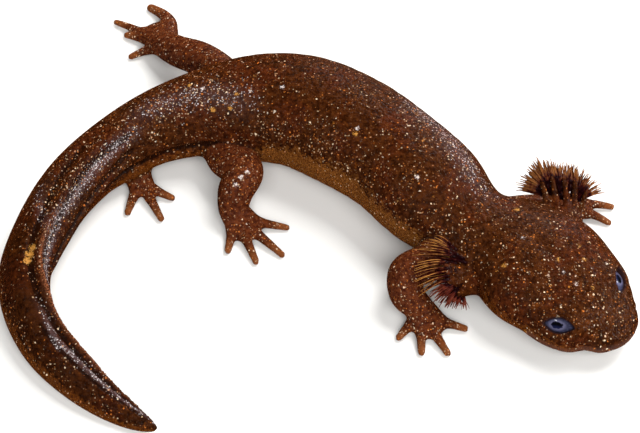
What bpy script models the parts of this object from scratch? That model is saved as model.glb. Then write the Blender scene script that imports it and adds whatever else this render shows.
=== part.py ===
"""A gilled stream salamander, life size: the solids of a still model that rests on its belly, feet and
tail.

Lengths are in millimetres on a ground plan with +X to the right, +Y away from the viewer and +Z up, and
become metres as each mesh is made. The animal heads to the lower right of the plan and its tail curls
back to the lower left. Left and right in names are the animal's own. The last lines move the plan so
that the origin is on the floor under the middle of the whole animal's box.
"""

import bmesh
import bpy
import numpy as np

MM = 0.001
GAP = 0.3  # between neighbouring nodes, and where the body is parted into lengths
EYE_GAP = 0.25
TRIM_GAP = 0.4  # by which head and body are grown where they trim gills and limbs
FLOOR = 0.0
SAME_PLACE = 1e-6  # metres within which two vertices are one
RIGHT, LEFT = 1, -1  # the two sides of the animal, as signs on its sideways axis

# Stations of the body from snout to tail tip. Each is where the midline passes over the plan (x, y), the
# height of the section's centre, its half width, half height above and below the centre, the height of
# the crest on top, and how far it leans to the animal's right in degrees.
BODY = np.array(
    [
        (44.3, -23.9, 3.8, 0.0, 0.0, 0.0, 0.0, 0.0),  # snout tip
        (43.4, -22.7, 3.8, 4.1, 2.2, 1.9, 0.0, 0.0),  # lip
        (42.1, -21.0, 4.0, 6.1, 3.2, 2.4, 0.0, 0.0),  # nostrils
        (39.9, -18.2, 4.3, 7.9, 4.1, 3.3, 0.0, 0.0),  # eyes
        (36.9, -14.4, 4.6, 9.2, 4.9, 4.1, 0.0, 0.0),  # cheeks
        (33.8, -10.6, 4.9, 10.3, 5.6, 4.7, 0.0, 0.0),  # jaw corner
        (30.2, -6.7, 5.1, 9.8, 5.5, 5.1, 0.0, 0.0),  # gill roots
        (24.0, -2.9, 5.6, 7.2, 4.9, 5.8, 0.0, 0.0),  # neck
        (17.7, 2.6, 6.9, 8.9, 6.9, 7.1, 0.0, 0.0),  # shoulders
        (11.4, 10.0, 7.1, 9.1, 7.1, 7.3, 0.0, 0.0),  # chest
        (4.5, 15.8, 7.3, 9.7, 7.3, 7.5, 0.0, 0.0),  # belly
        (-3.5, 20.2, 7.3, 9.6, 7.3, 7.5, 0.0, 0.0),  # loin
        (-10.4, 21.1, 7.0, 9.0, 7.0, 7.2, 0.0, 0.0),  # hip
        (-17.5, 20.5, 6.4, 7.3, 6.6, 5.9, 0.0, 0.0),  # vent
        (-29.1, 15.8, 5.8, 5.1, 5.6, 5.4, 0.5, 5.0),  # tail root
        (-38.7, 5.3, 5.5, 4.6, 5.0, 5.7, 0.9, 22.0),  # tail bend
        (-42.2, -2.6, 5.1, 4.1, 4.6, 5.4, 1.0, 25.0),  # tail side
        (-44.3, -10.9, 4.5, 3.5, 4.1, 4.8, 1.1, 29.0),  # tail middle
        (-41.0, -21.4, 3.1, 2.5, 2.8, 3.6, 1.2, 42.0),  # tail blade
        (-34.9, -28.5, 2.2, 2.0, 2.0, 2.8, 1.1, 50.0),  # blade's end
        (-28.4, -33.3, 1.4, 1.3, 1.3, 1.9, 0.4, 50.0),  # taper
        (-23.3, -36.4, 1.1, 0.0, 0.0, 0.0, 0.0, 50.0),  # tail tip
    ]
)
FULLNESS = 0.88  # power on the sine and cosine of a section: 1 is an ellipse, less is squarer
CREST_SHARPNESS = 26
SIDES = 24
HEAD_SIDES = 30

# Lengths of the body, measured along the midline from the snout tip, with the rings that make each one.
HEAD_END = 22.5
NECK_END = 31.0
CHEST_END = 53.0
TRUNK_END = 80.0
TAIL_ROOT_END = 105.0
TAIL_MIDDLE_END = 132.0
LENGTHS = [
    ("neck", HEAD_END, NECK_END, 5),
    ("torso_front", NECK_END, CHEST_END, 9),
    ("torso_rear", CHEST_END, TRUNK_END, 11),
    ("tail_root", TRUNK_END, TAIL_ROOT_END, 10),
    ("tail_middle", TAIL_ROOT_END, TAIL_MIDDLE_END, 11),
]
TAIL_TIP_RINGS = 10
HEAD_RINGS = 15
END_ROUNDING = 1.6  # how much closer the rings stand towards a rounded end
CORE_STEP = 2.0
CORE_OVERLAP = 1.0  # how far the grown copies of head and body, which trim the rest, run into each other

# Head. Places on it are set by their distance behind the snout tip, sideways reach and height.
MOUTH_CORNER = 12.0  # from the snout tip, as far back as the mouth reaches
MOUTH_FRONT_HEIGHT = 2.9
MOUTH_CORNER_HEIGHT = 3.5
MOUTH_DIP = 0.5  # how far the middle of the mouth line sags
MOUTH_BLOCK_AHEAD = -3.0
MOUTH_BLOCK_REACH = 14.0
MOUTH_BLOCK_DEPTH = -4.0
EYE_BACK = 7.2  # from the snout tip to the eye
EYE_SIDE = 6.05
EYE_HEIGHT = 6.6
EYE_RADIUS = 2.4
EYE_FACING = (0.22, 0.62, 0.75)  # forward, sideways, up
EYE_LONG_TURN = 30.0  # degrees that the slit's front end turns in towards the snout
SLIT_HALF = (2.15, 1.25, 2.0)  # half its length, its width and its depth
LID_MOUND = (3.5, 3.1, 2.85)
NOSTRIL_BACK = 1.9
NOSTRIL_SIDE = 2.5
NOSTRIL_HEIGHT = 5.5
NOSTRIL_RADIUS = 0.42

# Gills. Each ramus has one stem or more, and each stem a root in the head's hind corner, a tip, and how
# far off the stem its filaments stand at its root, in degrees on its two sides. A fan of filaments faces
# FAN_FACING.
RAMI = {
    "gill_right_upper": [((21.2, -10.4, 7.6), (17.2, -10.3, 9.9), (8.0, 95.0))],
    "gill_right_middle": [((21.6, -12.4, 6.2), (16.8, -14.2, 9.0), (35.0, 32.0))],
    "gill_right_lower": [((21.9, -14.0, 4.6), (19.2, -15.6, 5.0), (95.0, 5.0))],
    "gill_left_upper": [
        ((34.6, -1.2, 8.0), (32.8, 2.6, 10.0), (95.0, 10.0)),
        ((35.6, -0.8, 8.4), (35.0, 2.4, 11.4), (55.0, 5.0)),
    ],
    "gill_left_middle": [((37.5, -1.0, 7.4), (37.5, 2.5, 10.8), (25.0, 25.0))],
    "gill_left_lower": [((39.6, -1.2, 5.6), (40.6, 2.6, 8.3), (10.0, 80.0))],
}
FAN_FACING = (0.1, -0.65, 0.75)
RAMUS_ROOT_RADIUS = 0.85
RAMUS_TIP_RADIUS = 0.45
RAMUS_SINK = 2.5  # how far a stem starts inside the head, before the head's shape is cut from it
STEM_SIDES = 8
FILAMENTS_START = 0.52  # share of the stem, from its start inside the head, at which filaments begin
FILAMENTS_STOP = 0.97
FILAMENT_PAIRS = 7
FILAMENT_LENGTH = 3.3
FILAMENT_LENGTH_SPREAD = (0.88, 1.05)
FILAMENT_RADIUS = 0.32
FILAMENT_TAPER = (1.0, 0.85, 0.35)  # its thickness at the root, in the middle and at the tip
FAN_CLOSE = 0.35  # share of its root's spread that a fan has at the stem's tip
FILAMENT_DROOP = 0.35
FILAMENT_SWING = 2.0  # degrees by which a filament may stand off its even place
FILAMENT_SEED = 7

# Limbs. Each joint is (x, y, z) and then the half width and half thickness there. The first lies in the
# body, the last two are the palm's middle and its knuckles. Cuts are shares of the way from the first
# joint to the last. The tips are where the digits end on the floor, each with how far the digit bows to
# its right on the way.
LIMBS = [
    {
        "names": ("upper_arm_right", "forearm_right", "hand_right"),
        "joints": [
            (19.5, -5.5, 5.2, 2.5, 2.5),
            (16.2, -9.2, 5.6, 2.7, 2.7),
            (12.8, -11.9, 5.5, 2.75, 2.75),
            (13.0, -14.2, 4.0, 2.65, 2.5),
            (15.0, -15.8, 2.3, 2.3, 1.7),
            (16.1, -17.4, 1.2, 2.6, 1.2),
            (16.8, -19.0, 0.8, 2.2, 0.85),
        ],
        "cuts": (0.36, 0.78),
        "tips": [(11.4, -20.1, 0.0), (15.0, -23.1, 0.0), (19.1, -23.0, 0.0), (22.3, -18.2, 0.2)],
    },
    {
        "names": ("upper_arm_left", "forearm_left", "hand_left"),
        "joints": [
            (25.2, 1.0, 4.2, 2.1, 2.1),
            (29.2, 3.0, 3.2, 2.0, 1.9),
            (32.7, 4.0, 2.7, 1.9, 1.8),
            (35.4, 4.5, 2.2, 1.9, 1.6),
            (37.4, 4.9, 1.7, 1.9, 1.35),
            (39.3, 5.1, 1.2, 2.2, 1.15),
            (41.0, 5.3, 0.8, 1.9, 0.85),
        ],
        "cuts": (0.52, 0.78),
        "tips": [(45.4, 2.3, -0.5), (46.3, 5.7, -0.6), (42.2, 10.4, 0.0), (37.2, 9.9, 0.0)],
    },
    {
        "names": ("thigh_right", "shin_right", "foot_right"),
        "joints": [
            (-14.8, 15.6, 4.0, 4.0, 2.5),
            (-14.4, 12.2, 4.7, 3.8, 2.6),
            (-12.7, 8.5, 5.4, 3.3, 2.8),
            (-13.1, 5.4, 4.2, 2.9, 2.5),
            (-13.2, 3.3, 2.4, 2.5, 1.7),
            (-11.9, 1.4, 1.2, 2.7, 1.2),
            (-11.0, -0.2, 0.8, 2.3, 0.85),
        ],
        "cuts": (0.42, 0.78),
        "tips": [(-14.3, -3.7, 0.0), (-9.6, -5.8, 0.0), (-5.4, -4.3, 0.0), (-4.7, 1.5, 0.2)],
    },
    {
        "names": ("thigh_left", "shin_left", "foot_left"),
        "joints": [
            (-13.0, 25.0, 4.8, 2.8, 2.7),
            (-15.9, 30.3, 5.0, 3.0, 2.8),
            (-19.7, 34.2, 4.6, 3.0, 2.7),
            (-23.8, 37.4, 3.4, 2.8, 2.3),
            (-26.5, 40.2, 2.2, 2.6, 1.7),
            (-27.6, 43.4, 1.2, 2.9, 1.2),
            (-28.8, 45.6, 0.8, 2.5, 0.85),
        ],
        "cuts": (0.48, 0.8),
        "tips": [(-32.2, 38.6, 0.0), (-33.4, 44.2, 0.0), (-35.3, 47.2, 0.0), (-30.2, 51.2, 2.0)],
    },
    {
        "names": ("extra_foot",),
        "joints": [
            (-28.9, 13.6, 2.3, 1.8, 1.6),
            (-28.8, 11.9, 1.8, 1.8, 1.4),
            (-28.6, 10.2, 1.3, 2.1, 1.2),
            (-28.3, 8.6, 0.8, 1.9, 0.85),
        ],
        "cuts": (),
        "tips": [(-30.3, 4.0, 0.0), (-24.6, 2.9, 0.0), (-22.8, 7.4, 0.3)],
    },
]
LIMB_SIDES = 12
LIMB_RINGS = 7
HEADING_STEP = 2.8  # how far each way a limb's heading is taken, so that rings don't cross at a bend
DIGIT_ROOT_HEIGHT = 0.875
DIGIT_ROOT_BACK = 0.5  # share of the way back from the knuckles at which digits start
DIGIT_RADIUS = 0.95
DIGIT_TIP_RADIUS = 0.42
DIGIT_ARCH = 0.3
DIGIT_SIDES = 8
DIGIT_SHARES = (0.0, 0.3, 0.6, 0.85, 0.96, 1.0)  # of its length, at which a digit has sections
DIGIT_ROUNDING = (1.0, 1.0, 1.0, 1.0, 0.75, 0.3)  # by which those sections close at the tip
DIGIT_FLATNESS = 0.85  # of a digit's width, as its thickness
DIGIT_TIP_LIFT = 0.8  # of the tip's radius, as the height of its middle

SKIN = ((0.118, 0.055, 0.024, 1.0), 0.35)
GILL = ((0.150, 0.040, 0.022, 1.0), 0.45)
EYE = ((0.020, 0.026, 0.060, 1.0), 0.08)


def smooth(at, knots, values):
    """Cubic curve through values at knots, its slope at each knot the mean slope of the stretches beside
    it."""
    knots, values = np.asarray(knots, float), np.asarray(values, float)
    slopes = np.gradient(values, knots, axis=0)
    low = np.clip(np.searchsorted(knots, at, side="right") - 1, 0, len(knots) - 2)
    step = (knots[low + 1] - knots[low])[:, None]
    share = (np.asarray(at, float) - knots[low])[:, None] / step
    rise = share * share * (3 - 2 * share)
    lead_in = step * share * (1 - share) ** 2 * slopes[low]
    lead_out = step * share * share * (share - 1) * slopes[low + 1]
    return (1 - rise) * values[low] + rise * values[low + 1] + lead_in + lead_out


def unit(vectors):
    """Vectors scaled to length one."""
    vectors = np.asarray(vectors, float)
    return vectors / np.linalg.norm(vectors, axis=-1, keepdims=True)


def distances(points):
    """Distance run along a line of points up to each of them."""
    return np.r_[0, np.cumsum(np.linalg.norm(np.diff(points, axis=0), axis=1))]


BODY_RUN = distances(BODY[:, :2])
TAIL_END = BODY_RUN[-1]


def midline(at):
    """Place, heading (from snout to tail) and sideways direction (to the animal's right) of the midline."""
    step = 0.05
    place = smooth(at, BODY_RUN, BODY[:, :3])
    ahead = smooth(np.minimum(at + step, TAIL_END), BODY_RUN, BODY[:, :2])
    behind = smooth(np.maximum(at - step, 0), BODY_RUN, BODY[:, :2])
    heading = unit(ahead - behind)
    heading = np.c_[heading, np.zeros(len(heading))]
    return place, heading, np.cross([0, 0, 1], heading)


def superpower(wave):
    """A sine or cosine raised to FULLNESS with its sign kept, which squares an ellipse off."""
    return np.sign(wave) * np.abs(wave) ** FULLNESS


def body_rings(at, sides, grow=0.0, on_floor=True):
    """Sections of the body at distances from the snout tip. The squares of the half sizes are what is
    smoothed, so that both ends close in a round. Each section is a squared ellipse, flatter or taller
    above and below its centre, with a crest where its sine is near one, leant over by the station's
    roll."""
    at = np.asarray(at, float)
    place, _, right = midline(at)
    halves = np.sqrt(np.maximum(smooth(at, BODY_RUN, BODY[:, 3:6] ** 2), 0)) + grow
    crest, roll = np.moveaxis(smooth(at, BODY_RUN, BODY[:, 6:8]), 1, 0)
    turn = np.arange(sides) / sides * 2 * np.pi
    across = halves[:, :1] * superpower(np.cos(turn))
    above = halves[:, 1:2] * superpower(np.maximum(np.sin(turn), 0))
    below = halves[:, 2:3] * superpower(np.minimum(np.sin(turn), 0))
    ridge = np.maximum(crest, 0)[:, None] * np.maximum(np.sin(turn), 0) ** CREST_SHARPNESS
    height = above + below + ridge
    lean = np.radians(roll)[:, None, None]
    sideways = np.cos(lean) * right[:, None] - np.sin(lean) * np.array([0, 0, 1.0])
    upwards = np.sin(lean) * right[:, None] + np.cos(lean) * np.array([0, 0, 1.0])
    rings = place[:, None] + across[:, :, None] * sideways + height[:, :, None] * upwards
    if on_floor:
        rings[..., 2] = np.maximum(rings[..., 2], FLOOR)
    return rings


def head_place(back, side, up, hand):
    """A point of the plan from its distance behind the snout tip, sideways reach and height."""
    place, _, right = midline(np.array([float(back)]))
    return np.array([*(place[0, :2] + hand * side * right[0, :2]), up])


def head_direction(forward, side, up, hand):
    """A unit direction of the plan from its parts forward, sideways and up in the head's frame."""
    _, heading, right = midline(np.array([EYE_BACK]))
    return unit(-forward * heading[0] + hand * side * right[0] + np.array([0, 0, up]))


def new_object(name, mesh, collection):
    """An object with this mesh, linked to a collection."""
    made = bpy.data.objects.new(name, mesh)
    collection.objects.link(made)
    return made


def loft(name, rings, collection, start="flat", end="flat"):
    """Closed skin over rings of points, faces out. A flat end is a fan about the ring's middle, and a
    point end is a fan to the middle of an end ring that has no size."""
    count, sides, _ = rings.shape
    grid = np.arange(count * sides).reshape(count, sides)
    if start == "point":
        grid = grid[1:]
    if end == "point":
        grid = grid[:-1]
    points = rings.reshape(-1, 3)
    following = np.roll(grid, -1, axis=1)
    quads = np.stack([grid[:-1], following[:-1], following[1:], grid[1:]], -1).reshape(-1, 4)
    first, last = len(points), len(points) + 1
    points = np.r_[points, rings[:1].mean(1), rings[-1:].mean(1)]
    fan_in = np.stack([following[0], grid[0], np.full(sides, first)], -1)
    fan_out = np.stack([grid[-1], following[-1], np.full(sides, last)], -1)
    mesh = bpy.data.meshes.new(name)
    mesh.from_pydata((points * MM).tolist(), [], [*quads.tolist(), *fan_in.tolist(), *fan_out.tolist()])
    tidy = bmesh.new()
    tidy.from_mesh(mesh)
    loose = [v for v in tidy.verts if not v.link_faces]
    bmesh.ops.delete(tidy, geom=loose, context="VERTS")
    bmesh.ops.remove_doubles(tidy, verts=tidy.verts, dist=SAME_PLACE)
    if tidy.calc_volume(signed=True) < 0:
        bmesh.ops.reverse_faces(tidy, faces=tidy.faces)
    tidy.to_mesh(mesh)
    tidy.free()
    return new_object(name, mesh, collection)


def tube_rings(path, halves, sides, along=None, on_floor=True):
    """Elliptical sections along a path of points: half width level, half thickness square to the width
    and path."""
    path, halves = np.asarray(path, float), np.asarray(halves, float)
    along = unit(np.gradient(path, axis=0)) if along is None else along
    level = unit(np.cross(along, [0, 0, 1.0]))
    upright = np.cross(level, along)
    turn = np.arange(sides) / sides * 2 * np.pi
    rings = (
        path[:, None]
        + (halves[:, :1] * np.cos(turn))[:, :, None] * level[:, None]
        + (halves[:, 1:] * np.sin(turn))[:, :, None] * upright[:, None]
    )
    if on_floor:
        rings[..., 2] = np.maximum(rings[..., 2], FLOOR)
    return rings


def ball(name, centre, halves, axes, collection, segments=20, rings=12):
    """A sphere primitive stretched to three half sizes along three unit axes."""
    bpy.ops.mesh.primitive_uv_sphere_add(segments=segments, ring_count=rings, radius=1.0)
    made = bpy.context.object
    made.name = name
    stretch = np.asarray(axes, float).T * np.asarray(halves, float)
    points = np.array([v.co for v in made.data.vertices]) @ stretch.T + centre
    made.data.vertices.foreach_set("co", (points * MM).ravel())
    for owner in list(made.users_collection):
        owner.objects.unlink(made)
    collection.objects.link(made)
    return made


def keep_largest(made):
    """Leaves only the closed surface with the most room in it."""
    mesh = bmesh.new()
    mesh.from_mesh(made.data)
    bmesh.ops.remove_doubles(mesh, verts=mesh.verts, dist=SAME_PLACE)
    left, islands = set(mesh.verts), []
    while left:
        island, edge = set(), [next(iter(left))]
        while edge:
            vertex = edge.pop()
            if vertex in island:
                continue
            island.add(vertex)
            edge.extend(e.other_vert(vertex) for e in vertex.link_edges)
        left -= island
        islands.append(island)

    def room(island):
        spots = np.array([v.co for v in island])
        return np.prod(np.ptp(spots, axis=0) + 1e-9)

    largest = max(islands, key=room)
    dropped = [v for island in islands if island is not largest for v in island]
    bmesh.ops.delete(mesh, geom=dropped, context="VERTS")
    bmesh.ops.triangulate(mesh, faces=mesh.faces)
    mesh.to_mesh(made.data)
    mesh.free()


def boolean(made, operation, tools):
    """One Boolean with a collection of closed meshes, applied. The tools are then removed."""
    group = bpy.data.collections.new("boolean tools")
    bpy.context.scene.collection.children.link(group)
    for tool in tools:
        for owner in list(tool.users_collection):
            owner.objects.unlink(tool)
        group.objects.link(tool)
    step = made.modifiers.new("join", "BOOLEAN")
    step.operation = operation
    step.solver = "EXACT"
    step.operand_type = "COLLECTION"
    step.collection = group
    bpy.context.view_layer.update()
    graph = bpy.context.evaluated_depsgraph_get()
    result = bpy.data.meshes.new_from_object(made.evaluated_get(graph))
    made.modifiers.clear()
    made.data = result
    for tool in list(group.objects):
        bpy.data.objects.remove(tool)
    bpy.data.collections.remove(group)
    keep_largest(made)


def finish(made, look, angle=50):
    """Gives a node a plain Principled material of its own and smooth shading."""
    colour, roughness = look
    surface = bpy.data.materials.new(made.name)
    surface.use_nodes = True
    shader = surface.node_tree.nodes["Principled BSDF"]
    shader.inputs["Base Color"].default_value = colour
    shader.inputs["Roughness"].default_value = roughness
    shader.inputs["Metallic"].default_value = 0.0
    surface.diffuse_color = colour
    made.data.materials.clear()
    made.data.materials.append(surface)
    made.data.shade_smooth()
    made.data.set_sharp_from_angle(angle=np.radians(angle))


def draw_back(rings, first=None, last=None):
    """Moves end rings in by half a gap along the headings given, so that the faces of two neighbours
    stay parallel."""
    if first is not None:
        rings[0] += GAP / 2 * first
    if last is not None:
        rings[-1] -= GAP / 2 * last
    return rings


def towards_end(length, count):
    """Distances from 0 to length that stand closer towards 0, for a rounded end."""
    return length * (np.linspace(0, 1, count) ** END_ROUNDING)


def body_core(first, last, tools):
    """The body grown by a gap between two distances, as a tool that trims what grows from it."""
    marks = np.arange(first - CORE_OVERLAP, last, CORE_STEP)
    return loft("body core", body_rings(marks, SIDES, TRIM_GAP, on_floor=False), tools)


def head_rings():
    """Sections of the head, closer together towards the snout."""
    at = towards_end(HEAD_END, HEAD_RINGS)
    return draw_back(body_rings(at, HEAD_SIDES), last=midline(at)[1][-1])


def head_core(tools):
    """The head grown by a gap, as a tool that trims what grows from it."""
    at = towards_end(HEAD_END + CORE_OVERLAP, HEAD_RINGS)
    rings = body_rings(at, HEAD_SIDES, TRIM_GAP, on_floor=False)
    return loft("head core", rings, tools, start="point")


def mouth_block(margin, tools):
    """A block that holds all of the lower jaw: under the mouth line and ahead of its corner, less a
    margin."""
    back = np.linspace(MOUTH_BLOCK_AHEAD, MOUTH_CORNER, 9)
    share = np.clip(back / MOUTH_CORNER, 0, 1)
    line = MOUTH_FRONT_HEIGHT + (MOUTH_CORNER_HEIGHT - MOUTH_FRONT_HEIGHT) * share
    line = line - MOUTH_DIP * np.sin(np.pi * share)
    back[-1] -= margin
    tip = midline(np.zeros(1))[0][0]
    _, heading, right = midline(np.array([EYE_BACK]))
    rings = []
    for distance, height in zip(back, line - margin):
        centre = np.array([*(tip[:2] + distance * heading[0, :2]), 0])
        low, high = MOUTH_BLOCK_DEPTH, height
        corners = [(-MOUTH_BLOCK_REACH, low), (MOUTH_BLOCK_REACH, low), (MOUTH_BLOCK_REACH, high)]
        corners.append((-MOUTH_BLOCK_REACH, high))
        rings.append([centre + side * right[0] + np.array([0, 0, up]) for side, up in corners])
    return loft("mouth block", np.array(rings), tools)


def eye_frame(hand):
    """Centre of an eyeball and its axes: along the slit, across it and outwards."""
    outward = head_direction(*EYE_FACING, hand)
    turn = np.radians(EYE_LONG_TURN)
    slit = head_direction(np.cos(turn), -np.sin(turn), 0, hand)
    slit = unit(slit - outward * (slit @ outward))
    centre = head_place(EYE_BACK, EYE_SIDE, EYE_HEIGHT, hand) - EYE_RADIUS * outward
    return centre, np.array([slit, np.cross(outward, slit), outward])


def make_head(parts, tools):
    """The head with lid mounds, eye sockets, slits, nostrils and the mouth's thin cut, and the lower jaw."""
    head = loft("head", head_rings(), parts, start="point")
    mounds, holes = [], []
    for hand in (RIGHT, LEFT):
        centre, axes = eye_frame(hand)
        mounds.append(ball("lid mound", centre, LID_MOUND, axes, tools, 16, 10))
        room = EYE_RADIUS + EYE_GAP
        holes.append(ball("socket", centre, (room, room, room), axes, tools, 20, 12))
        holes.append(ball("slit", centre + EYE_RADIUS * axes[2], SLIT_HALF, axes, tools, 14, 8))
        nostril = head_place(NOSTRIL_BACK, NOSTRIL_SIDE, NOSTRIL_HEIGHT, hand)
        holes.append(ball("nostril", nostril, (NOSTRIL_RADIUS,) * 3, axes, tools, 8, 6))
    boolean(head, "UNION", mounds)
    boolean(head, "DIFFERENCE", holes)
    jaw = new_object("lower_jaw", head.data.copy(), parts)
    boolean(head, "DIFFERENCE", [mouth_block(-GAP / 2, tools)])
    boolean(jaw, "INTERSECT", [mouth_block(GAP / 2, tools)])
    finish(head, SKIN)
    finish(jaw, SKIN)


def make_eyes(parts):
    """Two eyeballs, each in its own node."""
    for hand, name in ((RIGHT, "eye_right"), (LEFT, "eye_left")):
        centre, axes = eye_frame(hand)
        finish(ball(name, centre, (EYE_RADIUS,) * 3, axes, parts, 16, 10), EYE)


def make_lengths(parts):
    """Neck, trunk and tail, parted across the midline by thin cuts."""
    for name, start, stop, count in LENGTHS:
        at = np.linspace(start, stop, count)
        headings = midline(at)[1]
        rings = draw_back(body_rings(at, SIDES), headings[0], headings[-1])
        finish(loft(name, rings, parts), SKIN)
    at = TAIL_END - towards_end(TAIL_END - TAIL_MIDDLE_END, TAIL_TIP_RINGS)[::-1]
    rings = draw_back(body_rings(at, SIDES), midline(at)[1][0])
    finish(loft("tail_tip", rings, parts, end="point"), SKIN)


def filament(root, tip, droop, tools):
    """A four-sided gill filament that tapers from its root and bends towards droop."""
    share = np.array([0.0, 0.5, 1.0])
    path = root + share[:, None] * (tip - root) + (share**2)[:, None] * droop
    width = FILAMENT_RADIUS * np.array(FILAMENT_TAPER)
    return loft("filament", tube_rings(path, np.c_[width, width], 4, on_floor=False), tools)


def make_stem(name, root, tip, group):
    """A tapering stem from inside the head to its tip, and its path."""
    root, tip = np.array(root), np.array(tip)
    along = unit(tip - root)
    share = np.linspace(0, 1, 5)
    path = root - RAMUS_SINK * along + share[:, None] * (tip - root + RAMUS_SINK * along)
    radius = RAMUS_ROOT_RADIUS + (RAMUS_TIP_RADIUS - RAMUS_ROOT_RADIUS) * share
    rings = tube_rings(path, np.c_[radius, radius], STEM_SIDES, on_floor=False)
    return loft(name, rings, group), path, along


def make_fan(path, along, spread, draw, tools):
    """Filaments in a fan: on each side of a stem they stand off it by the spread at its root, less at
    its tip."""
    beside = unit(np.cross(along, FAN_FACING))
    fan = []
    for share in np.linspace(FILAMENTS_START, FILAMENTS_STOP, FILAMENT_PAIRS):
        spot = path[0] + share * (path[-1] - path[0])
        for way, most in zip((-1, 1), spread):
            angle = np.interp(share, (FILAMENTS_START, FILAMENTS_STOP), (most, most * FAN_CLOSE))
            angle = np.radians(angle + draw.uniform(-FILAMENT_SWING, FILAMENT_SWING))
            aim = np.cos(angle) * along + way * np.sin(angle) * beside
            length = FILAMENT_LENGTH * draw.uniform(*FILAMENT_LENGTH_SPREAD)
            fan.append(filament(spot, spot + length * aim, FILAMENT_DROOP * along, tools))
    return fan


def make_gills(parts, tools):
    """Six rami, each of one stem or more with its fans, cut to the shape of the head and the limbs."""
    draw = np.random.default_rng(FILAMENT_SEED)
    for name, stems in RAMI.items():
        pieces = []
        for place, (root, tip, spread) in enumerate(stems):
            stem, path, along = make_stem(name, root, tip, parts if place == 0 else tools)
            pieces.append(stem)
            pieces.extend(make_fan(path, along, spread, draw, tools))
        ramus = pieces[0]
        boolean(ramus, "UNION", pieces[1:])
        boolean(ramus, "DIFFERENCE", [head_core(tools)])
        boolean(ramus, "DIFFERENCE", [body_core(HEAD_END, CHEST_END, tools)])
        finish(ramus, GILL, 60)


def limb_line(limb, start=0.0, stop=1.0):
    """Places, half sizes and headings of a limb at evenly set shares of its way from root to knuckles."""
    rows = np.array(limb["joints"])
    run = distances(rows[:, :3])
    at = run[-1] * np.linspace(start, stop, LIMB_RINGS)
    found = smooth(at, run, rows)
    ahead = smooth(np.minimum(at + HEADING_STEP, run[-1]), run, rows)[:, :3]
    behind = smooth(np.maximum(at - HEADING_STEP, 0), run, rows)[:, :3]
    return found[:, :3], found[:, 3:], unit(ahead - behind)


def limb_piece(name, limb, start, stop, parts, cut_first=True, cut_last=True):
    """A length of a limb between two shares of its way, drawn back where a neighbour meets it."""
    path, halves, along = limb_line(limb, start=start, stop=stop)
    rings = tube_rings(path, halves, LIMB_SIDES, along, on_floor=False)
    draw_back(rings, along[0] if cut_first else None, along[-1] if cut_last else None)
    rings[..., 2] = np.maximum(rings[..., 2], FLOOR)
    return loft(name, rings, parts)


def make_digits(limb, tools):
    """A tapering digit from inside the palm to each tip, resting on the floor."""
    path = limb_line(limb)[0]
    root = path[-1] * (1 - DIGIT_ROOT_BACK) + path[-3] * DIGIT_ROOT_BACK
    root[2] = DIGIT_ROOT_HEIGHT
    share = np.array(DIGIT_SHARES)
    width = (DIGIT_RADIUS + (DIGIT_TIP_RADIUS - DIGIT_RADIUS) * share) * DIGIT_ROUNDING
    digits = []
    for x, y, bow in limb["tips"]:
        tip = np.array([x, y, DIGIT_TIP_RADIUS * DIGIT_TIP_LIFT])
        right = unit(np.cross(tip - root, [0, 0, 1.0]))
        bulge = np.sin(np.pi * share)[:, None]
        line = root + share[:, None] * (tip - root) + bulge * (bow * right + [0, 0, DIGIT_ARCH])
        rings = tube_rings(line, np.c_[width, width * DIGIT_FLATNESS], DIGIT_SIDES)
        digits.append(loft("digit", rings, tools))
    return digits


def make_limbs(parts, tools):
    """Each limb is one smooth path, parted at the elbow or knee and at the wrist or ankle."""
    for limb in LIMBS:
        names, cuts = limb["names"], [0.0, *limb["cuts"], 1.0]
        for place, name in enumerate(names):
            last = place == len(names) - 1
            made = limb_piece(name, limb, cuts[place], cuts[place + 1], parts, place > 0, not last)
            if last:
                boolean(made, "UNION", make_digits(limb, tools))
            if place == 0:
                boolean(made, "DIFFERENCE", [body_core(HEAD_END, TAIL_MIDDLE_END, tools)])
            finish(made, SKIN)


def centre_on_floor(parts):
    """Hangs all nodes on one empty, which stands so that the origin is under the middle of the whole box."""
    corners = np.array([v.co for made in parts.objects for v in made.data.vertices])
    low, high = corners.min(0), corners.max(0)
    middle = (low + high) / 2
    root = bpy.data.objects.new("salamander", None)
    parts.objects.link(root)
    root.location = (-middle[0], -middle[1], -low[2])
    for made in parts.objects:
        if made is not root:
            made.parent = root


def main():
    for old in list(bpy.data.objects):
        bpy.data.objects.remove(old)
    parts = bpy.data.collections.new("stream_salamander")
    tools = bpy.data.collections.new("cutters")
    for group in (parts, tools):
        bpy.context.scene.collection.children.link(group)
    make_head(parts, tools)
    make_eyes(parts)
    make_lengths(parts)
    make_gills(parts, tools)
    make_limbs(parts, tools)
    centre_on_floor(parts)


main()
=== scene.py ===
"""A gilled stream salamander at rest, life size: one seamless wet skin, two eyes and six feathery gills.

Lengths are in millimetres on the plan that the solids were laid out on: +X to the right, +Y away from the
viewer, +Z up. Left and right in names are the animal's own. PLAN_TO_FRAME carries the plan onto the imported
model. """

from functools import partial

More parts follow.
